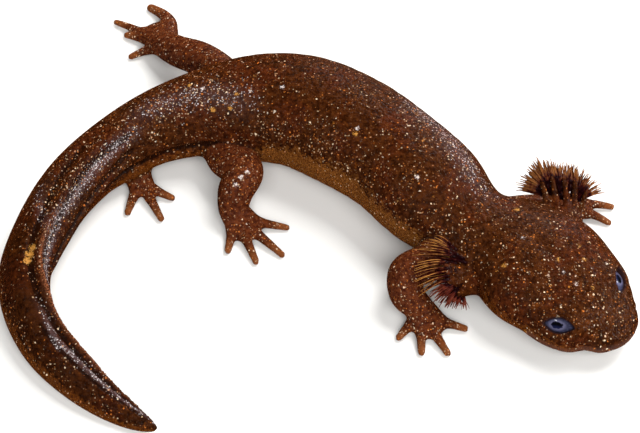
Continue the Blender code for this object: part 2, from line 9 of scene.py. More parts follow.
import bpy
import numpy as np
import openvdb
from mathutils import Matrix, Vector


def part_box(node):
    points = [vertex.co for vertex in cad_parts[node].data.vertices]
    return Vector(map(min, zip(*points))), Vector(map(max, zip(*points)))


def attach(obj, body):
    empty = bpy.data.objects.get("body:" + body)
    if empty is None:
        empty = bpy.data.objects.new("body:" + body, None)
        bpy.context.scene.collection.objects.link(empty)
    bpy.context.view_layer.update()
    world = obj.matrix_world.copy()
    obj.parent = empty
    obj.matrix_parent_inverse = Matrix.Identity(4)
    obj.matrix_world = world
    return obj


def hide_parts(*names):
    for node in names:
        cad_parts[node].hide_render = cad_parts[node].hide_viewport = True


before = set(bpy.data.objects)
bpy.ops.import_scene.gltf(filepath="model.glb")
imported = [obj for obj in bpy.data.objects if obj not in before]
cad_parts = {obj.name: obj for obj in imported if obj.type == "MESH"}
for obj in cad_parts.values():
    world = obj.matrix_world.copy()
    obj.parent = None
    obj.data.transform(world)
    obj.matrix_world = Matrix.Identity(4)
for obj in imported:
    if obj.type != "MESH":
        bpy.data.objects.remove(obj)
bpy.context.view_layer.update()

MM = 0.001
RIGHT, LEFT = 1, -1  # the two sides of the animal, as signs on its sideways axis
FAR = 50.0  # millimetres: farther than any blend reaches

# Stations of the body from snout to tail tip. Each is where the midline passes over the plan (x, y), the
# height of the section's centre, its half width, half height above and below the centre, the height of the
# crest on top, and how far it leans to the animal's right in degrees.
BODY = np.array(
    [
        (44.05, -23.45, 3.8, 0.0, 0.0, 0.0, 0.0, 0.0),  # snout tip
        (43.35, -22.35, 3.8, 3.75, 2.0, 1.9, 0.0, 0.0),  # lip
        (42.3, -20.7, 4.0, 5.6, 2.9, 2.4, 0.0, 0.0),  # nostrils
        (39.9, -18.2, 4.3, 7.95, 4.1, 3.3, 0.0, 0.0),  # eyes
        (36.9, -14.4, 4.6, 9.7, 4.9, 4.1, 0.0, 0.0),  # cheeks
        (33.6, -10.8, 4.9, 10.6, 5.6, 4.7, 0.0, 0.0),  # jaw corner
        (29.8, -7.2, 5.1, 9.7, 5.5, 5.1, 0.0, 0.0),  # gill roots
        (23.8, -3.2, 5.6, 7.2, 4.9, 5.8, 0.0, 0.0),  # neck
        (17.7, 2.6, 6.9, 8.9, 6.9, 7.1, 0.0, 0.0),  # shoulders
        (11.4, 10.0, 7.1, 9.1, 7.1, 7.3, 0.0, 0.0),  # chest
        (4.5, 15.8, 7.3, 9.7, 7.3, 7.5, 0.0, 0.0),  # belly
        (-3.5, 20.2, 7.3, 9.6, 7.3, 7.5, 0.0, 0.0),  # loin
        (-10.4, 21.1, 7.0, 9.0, 7.0, 7.2, 0.0, 0.0),  # hip
        (-17.5, 20.5, 6.4, 7.3, 6.6, 5.9, 0.0, 0.0),  # vent
        (-29.1, 15.8, 5.8, 5.1, 5.6, 5.4, 0.5, 5.0),  # tail root
        (-38.7, 5.3, 5.5, 4.6, 5.0, 5.7, 0.9, 22.0),  # tail bend
        (-42.2, -2.6, 5.1, 4.3, 4.7, 5.5, 1.0, 25.0),  # tail side
        (-44.2, -10.9, 4.5, 3.7, 4.2, 5.1, 1.1, 29.0),  # tail middle
        (-41.0, -21.4, 3.1, 2.7, 3.2, 4.1, 1.2, 42.0),  # tail blade
        (-34.9, -28.5, 2.2, 2.15, 2.4, 3.3, 1.1, 50.0),  # blade's end
        (-28.4, -33.4, 1.4, 1.4, 1.6, 2.3, 0.4, 50.0),  # taper
        (-23.3, -36.4, 1.1, 0.0, 0.0, 0.0, 0.0, 50.0),  # tail tip
    ]
)
FULLNESS = 2 / 0.88  # power of a section: 2 is an ellipse, more is squarer
ROUND_CREST = 0.25  # of the half width: how broad the crest is
HEAD_END = 22.5

# How high the pale underside reaches, as the sine of the angle round the section, at distances from the
# snout tip.
UNDERSIDE = ((0.0, 0.05), (12.0, 0.12), (24.0, 0.18), (36.0, 0.24), (50.0, 0.3), (60.0, 0.24), (72.0, 0.02),
             (84.0, -0.1), (100.0, 0.0), (120.0, -0.3), (158.0, -0.6))

EYE_BACK = {RIGHT: 7.2, LEFT: 6.5}  # from the snout tip to the eye
EYE_SIDE = 6.05
EYE_HEIGHT = 6.6
EYE_RADIUS = 2.4
EYE_HALVES = (4.6, 3.3, 2.75)  # the ball as it shows, flatter than the solid behind it
EYE_SET = (-1.0, 0.0, 0.1)  # its middle, from the lids' middle: along the slit, across and outwards
EYE_FACING = (0.22, 0.62, 0.75)  # forward, sideways, up
EYE_LONG_TURN = 30.0  # degrees that the slit's front end turns in towards the snout
LID_MOUND = (4.7, 3.42, 2.9)
LID_OPENING = {RIGHT: (2.35, 1.14), LEFT: (2.35, 0.95)}  # half length and half width of the slit
LID_SHIFT = {RIGHT: -0.26, LEFT: -0.66}  # how far across the ball the slit lies off its middle
LID_SLOPE = {RIGHT: 0.09, LEFT: -0.14}  # how much the slit leans across the ball along its length
NOSTRIL_BACK = 1.9
NOSTRIL_SIDE = 2.5
NOSTRIL_HEIGHT = 5.5
NOSTRIL_RADIUS = 0.2
MOUTH_CORNER = 12.0  # from the snout tip, as far back as the mouth reaches
MOUTH_FRONT_HEIGHT = 2.9
MOUTH_CORNER_HEIGHT = 3.5
MOUTH_DIP = 0.5  # how far the middle of the mouth line sags

# Gills. Stems of flesh: foot in the head's hind corner, tip, and radius at both.
STEMS = (
    ((34.9, -0.9, 7.6), (33.8, 2.4, 10.0), 0.8, 0.36),
    ((36.2, -0.8, 7.6), (35.3, 3.0, 10.6), 0.75, 0.34),
    ((37.7, -0.7, 7.0), (37.2, 3.0, 10.4), 0.75, 0.34),
    ((38.7, -0.8, 6.4), (38.9, 2.8, 9.8), 0.7, 0.34),
    ((39.6, -1.0, 5.6), (40.6, 2.2, 8.0), 0.75, 0.36),
    ((21.5, -10.6, 7.4), (19.0, -10.1, 9.6), 0.95, 0.4),
    ((21.6, -12.0, 6.6), (18.6, -12.3, 8.5), 1.0, 0.45),
    ((21.7, -12.7, 6.1), (18.9, -13.2, 7.8), 0.9, 0.45),
    ((21.7, -13.4, 5.4), (19.2, -14.1, 6.8), 1.0, 0.45),
    ((22.0, -14.2, 4.6), (20.6, -15.1, 5.0), 0.95, 0.5),
)
STEM_SINK = 2.5

# Fans of fronds, one for each gill: the two ends of the row in which the fronds start, the way that the
# first and the last set out, the row of their tips, how many there are, their radius, how much gold they
# get, partly as tip colour and partly as a painted highlight along the crests turned towards FAN_FACING,
# and how many fine hairs stand on each side of a frond.
FANS = {
    "gill_left_upper": (
        ((33.7, 1.6, 8.6), (34.6, 2.8, 10.0)), ((-1.6, 0.6, 0.2), (-0.4, 1.0, 1.0)),
        ((30.4, 3.1, 7.6), (30.6, 3.7, 8.6), (31.1, 4.2, 9.6), (31.8, 4.7, 10.4), (32.4, 5.6, 11.0),
         (33.4, 6.1, 11.6)),
        24, 0.18, 0.3, 0,
    ),
    "gill_left_middle": (
        ((34.3, 2.7, 9.9), (38.4, 2.8, 9.5)), ((-0.7, 0.9, 1.0), (0.2, 1.0, 0.9)),
        ((32.8, 5.9, 11.4), (34.6, 5.5, 11.8), (36.2, 5.3, 11.6), (37.5, 5.3, 11.4), (38.9, 5.4, 10.9)),
        28, 0.18, 0.3, 0,
    ),
    "gill_left_lower": (
        ((38.6, 2.4, 9.2), (40.8, 1.9, 7.4)), ((0.1, 1.2, 1.1), (1.5, 0.6, 0.3)),
        ((38.7, 5.5, 10.8), (39.5, 5.4, 10.4), (40.4, 5.1, 9.8), (41.4, 4.8, 9.0), (42.6, 4.4, 8.2),
         (43.1, 3.9, 7.4), (43.6, 3.4, 6.6)),
        22, 0.18, 0.35, 0,
    ),
    "gill_right_upper": (
        ((18.9, -9.6, 10.2), (20.1, -11.4, 8.9)), ((-0.9, 0.7, 0.9), (-1.9, 0.2, 1.0)),
        ((17.8, -8.8, 11.0), (16.6, -9.0, 10.8), (15.6, -9.7, 10.4), (14.7, -10.5, 10.0),
         (14.2, -11.5, 9.6)),
        9, 0.2, 1.0, 0,
    ),
    "gill_right_middle": (
        ((18.7, -11.7, 9.0), (19.4, -14.0, 7.0)), ((-1.8, 0.2, 0.8), (-1.6, -0.6, 0.6)),
        ((13.6, -12.3, 9.6), (13.4, -13.4, 9.2), (13.8, -14.6, 8.8), (14.3, -15.6, 8.2), (14.8, -16.5, 7.6),
         (15.6, -16.9, 7.0)),
        12, 0.2, 1.0, 0,
    ),
    "gill_right_lower": (
        ((19.3, -14.2, 6.8), (21.4, -15.6, 4.4)), ((-1.4, -0.4, 0.5), (0.2, -0.9, -0.2)),
        ((15.6, -16.8, 7.0), (16.4, -17.0, 6.4), (17.3, -17.2, 5.6), (18.3, -17.7, 4.8), (19.5, -17.4, 4.4),
         (20.6, -16.8, 4.6), (21.8, -16.9, 3.6)),
        15, 0.2, 0.0, 1,
    ),
}
# The way the fans face, near the camera's way; the gill look paints its gold highlight on sides facing it.
FAN_FACING = (0.1, -0.65, 0.75)
HAIR_LENGTH = 1.15
HAIR_RADIUS = 0.075

# Limbs. Each joint is (x, y, z) and then the half width and half thickness there. The first lies in the
# body, the last two are the palm's middle and its knuckles. The tips are where the digits end on the floor,
# each with how far the digit bows to its right on the way, and how much stouter it is than the others.
LIMBS = (
    (  # near front leg
        ((19.5, -5.5, 5.2, 2.5, 2.5), (16.2, -9.2, 5.6, 2.7, 2.7), (12.8, -11.9, 5.5, 2.75, 2.75),
         (13.0, -14.2, 4.0, 2.65, 2.5), (15.0, -15.8, 2.3, 2.3, 1.7), (16.0, -16.9, 1.3, 2.5, 1.2),
         (16.6, -18.1, 0.9, 2.2, 0.9)),
        ((11.4, -20.1, 0.0), (15.0, -23.1, 0.0), (19.1, -23.0, 0.0), (22.3, -18.2, 0.2)),
    ),
    (  # far front leg, mostly hidden in the photo
        ((25.2, 1.0, 4.2, 2.1, 2.1), (29.2, 3.0, 3.2, 2.0, 1.9), (32.7, 4.0, 2.7, 1.9, 1.8),
         (35.4, 4.5, 2.2, 1.9, 1.6), (37.4, 4.9, 1.7, 1.9, 1.35), (39.3, 5.1, 1.2, 2.2, 1.15),
         (41.0, 5.3, 0.8, 1.9, 0.85)),
        ((45.4, 2.3, -0.5), (46.3, 5.7, -0.6), (42.2, 10.4, 0.0), (37.2, 9.9, 0.0)),
    ),
    (  # near hind leg
        ((-14.8, 15.6, 4.0, 4.0, 2.5), (-14.1, 12.2, 4.7, 3.7, 2.6), (-11.9, 8.6, 5.4, 3.1, 2.8),
         (-13.2, 5.4, 4.2, 2.75, 2.5), (-13.4, 3.6, 2.5, 2.4, 1.7), (-12.2, 2.0, 1.3, 2.6, 1.2),
         (-11.4, 0.8, 0.9, 2.3, 0.9)),
        ((-14.3, -3.7, 0.0), (-9.6, -5.8, 0.0), (-5.4, -4.3, 0.0), (-4.7, 1.5, 0.2)),
    ),
    (  # far hind leg
        ((-13.0, 25.0, 4.8, 2.8, 2.7), (-15.9, 30.3, 5.0, 3.0, 2.8), (-19.7, 34.2, 4.6, 3.0, 2.7),
         (-23.8, 37.4, 3.4, 2.8, 2.3), (-26.3, 40.6, 2.2, 2.6, 1.7), (-27.0, 43.2, 1.3, 2.7, 1.2),
         (-27.9, 45.0, 0.9, 2.3, 0.9)),
        ((-32.2, 38.6, 0.0), (-33.4, 44.2, 0.0), (-35.3, 47.4, 0.3), (-29.6, 51.0, 2.4, 1.5)),
    ),
    (  # extra foot behind the near hind leg
        ((-28.9, 14.4, 2.3, 1.8, 1.6), (-28.8, 12.7, 1.8, 1.7, 1.4), (-28.6, 11.0, 1.3, 1.9, 1.2),
         (-28.3, 9.6, 0.9, 1.8, 0.9)),
        ((-30.3, 4.0, 0.0), (-24.6, 2.9, 0.0), (-22.8, 7.4, 0.3)),
    ),
)
PALM_THICKNESS = 1.25
DIGIT_ROOT_BACK = 0.5  # share of the way back from the knuckles at which digits start
DIGIT_RADIUS = 1.2
DIGIT_TIP_RADIUS = 0.48
DIGIT_ARCH = 0.3
PATH_STEP = 0.3  # millimetres between the places along a limb

# How far forms are let into each other where they meet, in millimetres.
LIMB_FILLET = 1.3
PALM_FILLET = 1.1
WEB_FILLET = 0.9
STEM_FILLET = 0.8
LID_FILLET = 1.5
NOSTRIL_FILLET = 0.3
SOLE_FILLET = 0.3

# Folds of the skin: places along each one (millimetres from the snout tip, degrees round the section), how
# far it stands proud in millimetres (less than nought for a groove), and half its width in degrees.
FOLDS = (
    (((95, 80), (99, 83), (102, 91), (106, 96), (110, 94), (115, 91), (122, 89), (130, 88)), 0.42, 5.0),
    (((118, 90), (126, 89), (134, 89), (144, 90), (154, 90)), 0.2, 5.0),
    (((96, 66), (100, 74), (104, 81), (108, 81), (112, 78), (117, 75), (122, 74)), -0.55, 4.5),
    (((103, 112), (108, 112), (114, 108), (122, 106), (130, 106)), -0.45, 6.0),
    (((100, 128), (108, 128), (116, 122), (126, 122)), 0.25, 8.0),
    (((97, 40), (104, 38), (109, 38), (114, 36), (122, 35)), -0.5, 5.0),
    (((98, 26), (105, 24), (112, 22), (120, 22)), 0.25, 8.0),
    (((79, 3), (82, 4), (85, 3), (90, 4), (94, 2), (98, 12), (103, 18)), -0.5, 5.0),
    (((82, -12), (87, -13), (93, -20), (98, -14)), 0.4, 12.0),
    (((134, 103), (142, 104), (152, 103)), -0.35, 5.0),
    (((136, 134), (145, 136), (154, 132)), -0.3, 8.0),
    (((136, 60), (145, 58), (154, 60)), -0.18, 8.0),
)
FOLD_FADE = 3.0  # millimetres over which a fold sinks in at both of its ends

# Where pigment flecks crowd or thin out: middle along the body and round it, reach each way, and by how
# much.
CROWDS = (
    (82, 82, 7, 28, 0.9), (50, 30, 13, 20, 0.7), (64, 96, 9, 40, -0.35), (6, 90, 6, 60, 0.35),
    (38, 122, 8, 22, 0.6), (112, 92, 18, 14, 0.8), (114, 122, 10, 12, 0.7), (104, 12, 10, 14, -0.3),
    (128, 160, 14, 25, -0.3), (136, 120, 22, 90, -0.35),
)

# Single blotches: places on the plan and radii.
GOLD_SPOTS = (
    (29.6, -2.9, 10.2, 0.32), (38.4, -9.7, 9.9, 0.22), (35.1, -12.4, 10.0, 0.24),
    (27.2, -13.4, 9.7, 0.29), (23.3, -7.8, 10.2, 0.22), (39.0, -12.0, 9.5, 0.22),
    (-13.0, 18.0, 13.3, 0.25), (-16.7, 16.0, 11.8, 0.36), (-14.0, 15.9, 12.3, 0.29),
    (5.4, 9.2, 13.7, 0.29), (40.0, -16.7, 8.7, 0.22), (-42.8, -9.5, 9.3, 0.6), (-43.1, -10.5, 9.0, 0.6),
    (-43.3, -11.6, 8.75, 0.55), (-20.5, 20.5, 12.6, 0.29), (-23.6, 18.2, 11.8, 0.25),
)
# Painted shadow: dark blotches in the gaps between the near gill stems.
GILL_GAP_SHADOWS = (
    (18.6, -13.0, 8.4, 0.4), (19.3, -12.95, 8.3, 0.45), (20.1, -12.9, 8.0, 0.4), (19.7, -14.7, 5.6, 0.5),
    (20.3, -14.3, 5.8, 0.5), (21.0, -13.9, 6.0, 0.4),
)
PALE_SPOTS = (
    (-5.9, 18.5, 14.4, 0.29), (5.7, 10.1, 14.0, 0.24), (14.6, 0.6, 13.5, 0.27), (37.5, -16.3, 9.1, 0.22),
    (35.8, -14.5, 9.6, 0.19), (42.7, -19.1, 7.6, 0.17), (30.1, -8.8, 10.6, 0.19),
    (-18.4, 19.6, 12.9, 0.29), (-12.2, 5.9, 7.4, 0.3), (-11.3, 6.8, 7.6, 0.3), (-13.0, 4.8, 6.9, 0.26),
    (-10.8, 18.2, 13.8, 0.22),
)

# Bands of painted highlight, where the wet skin would mirror a light: pale glints over a grey sheen,
# painted into the skin's colour. Places along and round the body, half width in degrees, amount.
PAINTED_GLINT_BANDS = (
    (((95, 64), (102, 70), (107, 73), (111, 71), (115, 80), (119, 68), (123, 66), (128, 56)), 9.0, 1.0),
    (((134, 112), (138, 127), (141, 117), (148, 116), (152, 116), (157, 102)), 10.0, 0.9),
    (((112, 134), (116, 104), (119, 78)), 10.0, 0.4),
    (((32, 116), (40, 128), (50, 136)), 13.0, 0.5),
    (((74, 62), (82, 78), (92, 84)), 16.0, 0.4),
)


def smooth(at, knots, values):
    """Cubic curve through values at knots, its slope at each knot the mean slope of the stretches beside
    it."""
    knots, values = np.asarray(knots, float), np.asarray(values, float)
    slopes = np.gradient(values, knots, axis=0)
    low = np.clip(np.searchsorted(knots, at, side="right") - 1, 0, len(knots) - 2)
    step = (knots[low + 1] - knots[low])[:, None]
    share = (np.asarray(at, float) - knots[low])[:, None] / step
    rise = share * share * (3 - 2 * share)
    lead_in = step * share * (1 - share) ** 2 * slopes[low]
    lead_out = step * share * share * (share - 1) * slopes[low + 1]
    return (1 - rise) * values[low] + rise * values[low + 1] + lead_in + lead_out


def unit(vectors):
    """Vectors scaled to length one."""
    vectors = np.asarray(vectors, float)
    return vectors / np.linalg.norm(vectors, axis=-1, keepdims=True)


def distances(points):
    """Distance run along a line of points up to each of them."""
    return np.r_[0, np.cumsum(np.linalg.norm(np.diff(points, axis=0), axis=1))]


def step_up(value, low, high):
    """0 up to low, 1 from high, and a soft S between them."""
    share = np.clip((value - low) / (high - low), 0, 1)
    return share * share * (3 - 2 * share)


def hump(value, middle, reach):
    """A bell of height one about its middle."""
    return np.exp(-(((value - middle) / reach) ** 2))


def soft_least(one, other, reach):
    """The lesser of two distances, let into each other over reach: a fillet where two forms meet."""
    lap = np.maximum(reach - np.abs(one - other), 0)
    return np.minimum(one, other) - lap * lap / (4 * reach)


def soft_most(one, other, reach):
    """The greater of two distances, let into each other over reach."""
    return -soft_least(-one, -other, reach)


BODY_RUN = distances(BODY[:, :2])
TAIL_END = BODY_RUN[-1]
RUN = np.linspace(0, TAIL_END, 1600)
LINE = smooth(RUN, BODY_RUN, BODY[:, :3])
HEADING = unit(np.gradient(LINE[:, :2], RUN, axis=0))
HALVES = np.maximum(smooth(RUN, BODY_RUN, BODY[:, 3:6] ** 2), 0)
CREST_AND_LEAN = smooth(RUN, BODY_RUN, BODY[:, 6:8])


def on_line(at, columns):
    """Values of a table over RUN at distances along the midline, carried on straight past both ends."""
    found = np.interp(at, RUN, columns)
    before = np.minimum(at, 0) * (columns[1] - columns[0]) / RUN[1]
    after = np.maximum(at - TAIL_END, 0) * (columns[-1] - columns[-2]) / RUN[1]
    return found + before + after


def ways_at(back):
    """The ways tailwards along the midline and to the animal's right, at distances from the snout tip."""
    x, y = (np.interp(back, RUN, HEADING[:, i]) for i in (0, 1))
    return np.array([x, y]), np.array([-y, x])


def beside_line(points):
    """For points of the plan: how far along the midline they lie, how far to the animal's right of it, and
    how far above its centre. The nearest of a row of marks is found first, then the foot of the square from
    the point."""
    at = np.zeros(len(points))
    nearest = np.full(len(points), np.inf)
    marks = slice(0, None, 10)
    for mark, (x, y) in zip(RUN[marks], LINE[marks, :2]):
        gap = (points[:, 0] - x) ** 2 + (points[:, 1] - y) ** 2
        closer = gap < nearest
        nearest = np.where(closer, gap, nearest)
        at = np.where(closer, mark, at)
    for _ in range(4):
        away_x = points[:, 0] - on_line(at, LINE[:, 0])
        away_y = points[:, 1] - on_line(at, LINE[:, 1])
        head_x, head_y = ways_at(at)[0]
        at = np.clip(at + away_x * head_x + away_y * head_y, -9, TAIL_END + 9)
    away_x = points[:, 0] - on_line(at, LINE[:, 0])
    away_y = points[:, 1] - on_line(at, LINE[:, 1])
    sideways = -away_x * head_y + away_y * head_x
    return at, sideways, points[:, 2] - on_line(at, LINE[:, 2])


def outside_section(across, up, half_squared, ratio, growth, power):
    """Rough distance outside a squared ellipse that changes along its axis: its size at the point, squared,
    less the section's half width squared, over the steepness of that difference."""
    wide, high = np.abs(across), np.abs(up) * ratio
    size = np.maximum((wide**power + high**power) ** (1 / power), 1e-6)
    lean = np.hypot((wide / size) ** (power - 1), ratio * (high / size) ** (power - 1))
    half = np.sqrt(np.maximum(half_squared, 0))
    steepness = np.hypot(2 * np.maximum(size, np.maximum(half, 0.4) * 0.5) * lean, growth)
    return (size * size - half_squared) / steepness


def head_place(back, side, up, hand):
    """A point of the plan from its distance behind the snout tip, sideways reach and height."""
    centre = np.array([on_line(back, LINE[:, i]) for i in (0, 1)])
    return np.array([*(centre + hand * side * ways_at(back)[1]), up])


def head_direction(forward, side, up, hand):
    """A unit direction of the plan from its parts forward, sideways and up in the head's frame."""
    heading, right = ways_at(EYE_BACK[RIGHT])
    return unit(np.array([*(-forward * heading + hand * side * right), up]))


def eye_frame(hand):
    """Centre of an eyeball and its axes: along the slit, across it and outwards."""
    outward = head_direction(*EYE_FACING, hand)
    turn = np.radians(EYE_LONG_TURN)
    slit = head_direction(np.cos(turn), -np.sin(turn), 0, hand)
    slit = unit(slit - outward * (slit @ outward))
    centre = head_place(EYE_BACK[hand], EYE_SIDE, EYE_HEIGHT, hand) - EYE_RADIUS * outward
    return centre, np.array([slit, np.cross(outward, slit), outward])


def along_folds(at, angle):
    """How far the folds and grooves of the skin stand proud at distances from the snout tip and angles
    round."""
    proud = np.zeros(len(at))
    for places, rise, half in FOLDS:
        marks, angles = np.transpose(places)
        away = angle - np.interp(at, marks, angles)
        begun = step_up(at, marks[0] - FOLD_FADE, marks[0])
        over = step_up(at, marks[-1], marks[-1] + FOLD_FADE)
        proud += rise * hump(away, 0, half) * (begun * (1 - over))
    return proud


def body_relief(at, angle, across):
    """How far the skin stands proud of the plain section: humps and grooves set by the distance from the
    snout tip and by the angle round the section, which is 0 at the right flank, 90 on the back and 180 at
    the left flank."""
    flank = np.abs(np.abs(angle) - 90)  # 90 at both flanks, 0 along back and belly
    trunk = step_up(at, 33, 38) * (1 - step_up(at, 76, 80))
    comb = np.abs(np.sin(np.pi * at / 3.4)) ** 10
    relief = -0.05 * trunk * comb * step_up(flank, 35, 60)
    jaw_muscle = hump(at, 15.0, 4.6) * hump(np.abs(angle - 90), 38, 17)
    crown = hump(at, 14.5, 5.5) * hump(across, 0, 0.9) * (angle > 0)
    relief += 0.32 * jaw_muscle - 0.16 * crown
    throat_fold = hump(at, 23.5, 0.6) * (angle < -20)
    nape = hump(at, 24.5, 1.8) * step_up(angle, 20, 70) * (1 - step_up(angle, 110, 160))
    return relief - 0.25 * throat_fold - 0.12 * nape + along_folds(at, angle)


def body_distance(points):
    """Distance outside the body, and where each point lies on it: along it, round it and how high in its
    section."""
    at, sideways, height = beside_line(points)
    lean = np.radians(np.interp(at, RUN, CREST_AND_LEAN[:, 1]))
    across = sideways * np.cos(lean) - height * np.sin(lean)
    up = sideways * np.sin(lean) + height * np.cos(lean)
    squares = [on_line(at, HALVES[:, i]) for i in range(3)]
    inner = np.clip(at, 0.5, TAIL_END - 0.5)
    wide, above, below = (np.sqrt(np.interp(inner, RUN, HALVES[:, i])) for i in range(3))
    crest = np.interp(at, RUN, CREST_AND_LEAN[:, 0])
    lifted = up - crest * hump(across, 0, ROUND_CREST * wide + 0.1) * step_up(up / above, 0.2, 0.9)
    ratio = wide / np.where(up > 0, above, below)
    growth = np.interp(at, RUN, np.gradient(HALVES[:, 0], RUN))
    value = outside_section(across, lifted, squares[0], ratio, growth, FULLNESS)
    angle = np.degrees(np.arctan2(up * ratio, across))
    value -= body_relief(at, angle, across)
    return value, {"at": at, "angle": angle, "up": up / above}


def mouth_height(at):
    """Height of the mouth line at a distance behind the snout tip."""
    share = np.clip(at / MOUTH_CORNER, 0, 1)
    line = MOUTH_FRONT_HEIGHT + (MOUTH_CORNER_HEIGHT - MOUTH_FRONT_HEIGHT) * share
    return line - MOUTH_DIP * np.sin(np.pi * share)


def ellipsoid_distance(away, halves):
    """Distance outside an ellipsoid, taken along the ray from its middle."""
    size = np.maximum(np.linalg.norm(away / np.array(halves), axis=1), 1e-6)
    return (size - 1) / size * np.linalg.norm(away, axis=1)


def lid_distance(away, hand):
    """Distance outside the almond between the lids, from places along the slit, across it and outwards: two
    arcs that meet in its corners."""
    half_length, half_width = LID_OPENING[hand]
    across = away[:, 1] - LID_SHIFT[hand] - LID_SLOPE[hand] * away[:, 0]
    arc = np.abs(across) - half_width * (1 - (away[:, 0] / half_length) ** 2)
    return np.where(away[:, 2] > 0, arc / np.hypot(1, 2 * half_width * away[:, 0] / half_length**2), FAR)


def add_head_forms(points, value, traits):
    """Lid mounds with a rim round an almond opening, nostrils, and lips on both sides of the mouth's
    groove."""
    near = np.flatnonzero(traits["at"] < HEAD_END)
    spots, found = points[near], value[near]
    lids = np.full(len(near), FAR)
    for hand in (RIGHT, LEFT):
        centre, axes = eye_frame(hand)
        away = (spots - centre) @ axes.T
        ball = away - np.array(EYE_SET)
        found = soft_least(found, ellipsoid_distance(ball, LID_MOUND), LID_FILLET)
        edge = lid_distance(away, hand)
        lids = np.minimum(lids, edge)
        found = found - 0.09 * hump(edge, 0.26, 0.24) * (edge < FAR)
        opening = np.maximum(edge, -0.3 - ellipsoid_distance(ball, EYE_HALVES))
        found = soft_most(found, -opening, 0.14)
        nostril = head_place(NOSTRIL_BACK, NOSTRIL_SIDE, NOSTRIL_HEIGHT, hand)
        hole = NOSTRIL_RADIUS - np.linalg.norm(spots - nostril, axis=1)
        found = soft_most(found, hole, NOSTRIL_FILLET)
    back = traits["at"][near]
    over = spots[:, 2] - mouth_height(back)
    mouth = 1 - step_up(back, MOUTH_CORNER - 2.0, MOUTH_CORNER)
    groove, upper_lip, lower_lip = hump(over, 0, 0.2), hump(over, 0.65, 0.45), hump(over, -0.6, 0.4)
    found += mouth * (0.28 * groove - 0.16 * upper_lip - 0.1 * lower_lip)
    value[near] = found
    traits["lid"] = np.full(len(points), FAR)
    traits["lid"][near] = lids
    traits["lip"] = np.full(len(points), FAR)
    traits["lip"][near] = np.where(mouth > 0.01, over + FAR * (1 - mouth), FAR)


def tube_distance(points, path, wide, thick, squeeze=1.0):
    """Distance outside a row of ellipsoids set closely along a path: for each, the length of the point's
    place in units that make it a ball, less its radius. Also the share of the way along the path of the
    nearest one."""
    along = unit(np.gradient(path, axis=0))
    level = unit(np.cross(along, [0, 0, 1.0]))
    upright = np.cross(level, along)
    best = np.full(len(points), FAR)
    share = np.zeros(len(points))
    steepness = np.ones(len(points))
    for i, centre in enumerate(path):
        ratio = wide[i] / thick[i]
        away = points - centre
        parts = [away @ level[i], (away @ upright[i]) * ratio, (away @ along[i]) * squeeze]
        size = np.maximum(np.sqrt(parts[0] ** 2 + parts[1] ** 2 + parts[2] ** 2), 1e-6)
        closer = size - wide[i] < best
        best = np.where(closer, size - wide[i], best)
        share = np.where(closer, i / (len(path) - 1), share)
        steep = np.sqrt(parts[0] ** 2 + (ratio * parts[1]) ** 2 + (squeeze * parts[2]) ** 2) / size
        steepness = np.where(closer, steep, steepness)
    return best / steepness, share


def inside_box(points, path, reach):
    """Which points lie within reach of a path's box."""
    return np.flatnonzero(np.all((points > path.min(0) - reach) & (points < path.max(0) + reach), axis=1))


def limb_path(joints):
    """Places and half sizes along a limb from its root to its knuckles."""
    rows = np.array(joints)
    run = distances(rows[:, :3])
    found = smooth(np.arange(0, run[-1], PATH_STEP), run, rows)
    return found[:, :3], found[:, 3], found[:, 4]


def digit_path(path, tip):
    """A digit's line from inside the palm to its tip, which bows sideways and upwards, with its radii:
    tapering, a little thicker at the joint, and round at the end."""
    run = distances(path)
    root = np.array([np.interp(run[-1] * (1 - DIGIT_ROOT_BACK / 3), run, path[:, i]) for i in range(3)])
    root[2] = PALM_THICKNESS * 0.7
    x, y, bow, *stout = tip
    tip = np.array([x, y, DIGIT_TIP_RADIUS * 0.8])
    right = unit(np.cross(tip - root, [0, 0, 1.0]))
    share = np.linspace(0, 1, 34)
    bulge = np.sin(np.pi * share)[:, None]
    line = root + share[:, None] * (tip - root) + bulge * (bow * right + [0, 0, DIGIT_ARCH])
    radius = DIGIT_RADIUS + (DIGIT_TIP_RADIUS - DIGIT_RADIUS) * share**0.75
    radius = (radius + 0.05 * hump(share, 0.45, 0.08)) * (stout[0] if stout else 1)
    length = distances(line)
    keep = length < length[-1] - DIGIT_TIP_RADIUS
    return line[keep], radius[keep]


def add_limb(points, value, traits, joints, tips):
    """Joins a limb and its digits to the skin with fillets, and marks limb, toes and the crease round its
    root, where the skin look paints shade."""
    path, wide, thick = limb_path(joints)
    near = inside_box(points, path, 9)
    spots = points[near]
    arm, _ = tube_distance(spots, path, wide, thick, 1.5)
    toe = np.zeros(len(near))
    fingers = np.full(len(near), FAR)
    for tip in tips:
        line, radius = digit_path(path, tip)
        finger, part = tube_distance(spots, line, radius, radius * 0.85)
        toe = np.where(finger < fingers, part, toe)
        fingers = soft_least(fingers, finger, WEB_FILLET)
    whole = soft_least(arm, fingers, PALM_FILLET)
    toe = toe * step_up(arm - fingers, 0, 0.6)
    body = value[near]
    for name, amount in (
        ("limb", step_up(body - whole, -0.6, 0.8)),
        ("toe", toe * step_up(body - whole, -0.2, 0.4)),
        # the crease round the root, which the skin look darkens as painted shade
        ("crease", hump(body - whole, 0, 0.5) * hump(body, 0, 0.6)),
    ):
        traits[name][near] = np.maximum(traits[name][near], amount)
    value[near] = soft_least(body, whole, LIMB_FILLET)


def stem_path(root, tip, first, last):
    """A gill stem's line from inside the head to its tip, and its radii."""
    root, tip = np.array(root), np.array(tip)
    share = np.linspace(0, 1, 26)
    start = root - STEM_SINK * unit(tip - root)
    return start + share[:, None] * (tip - start), first + (last - first) * share


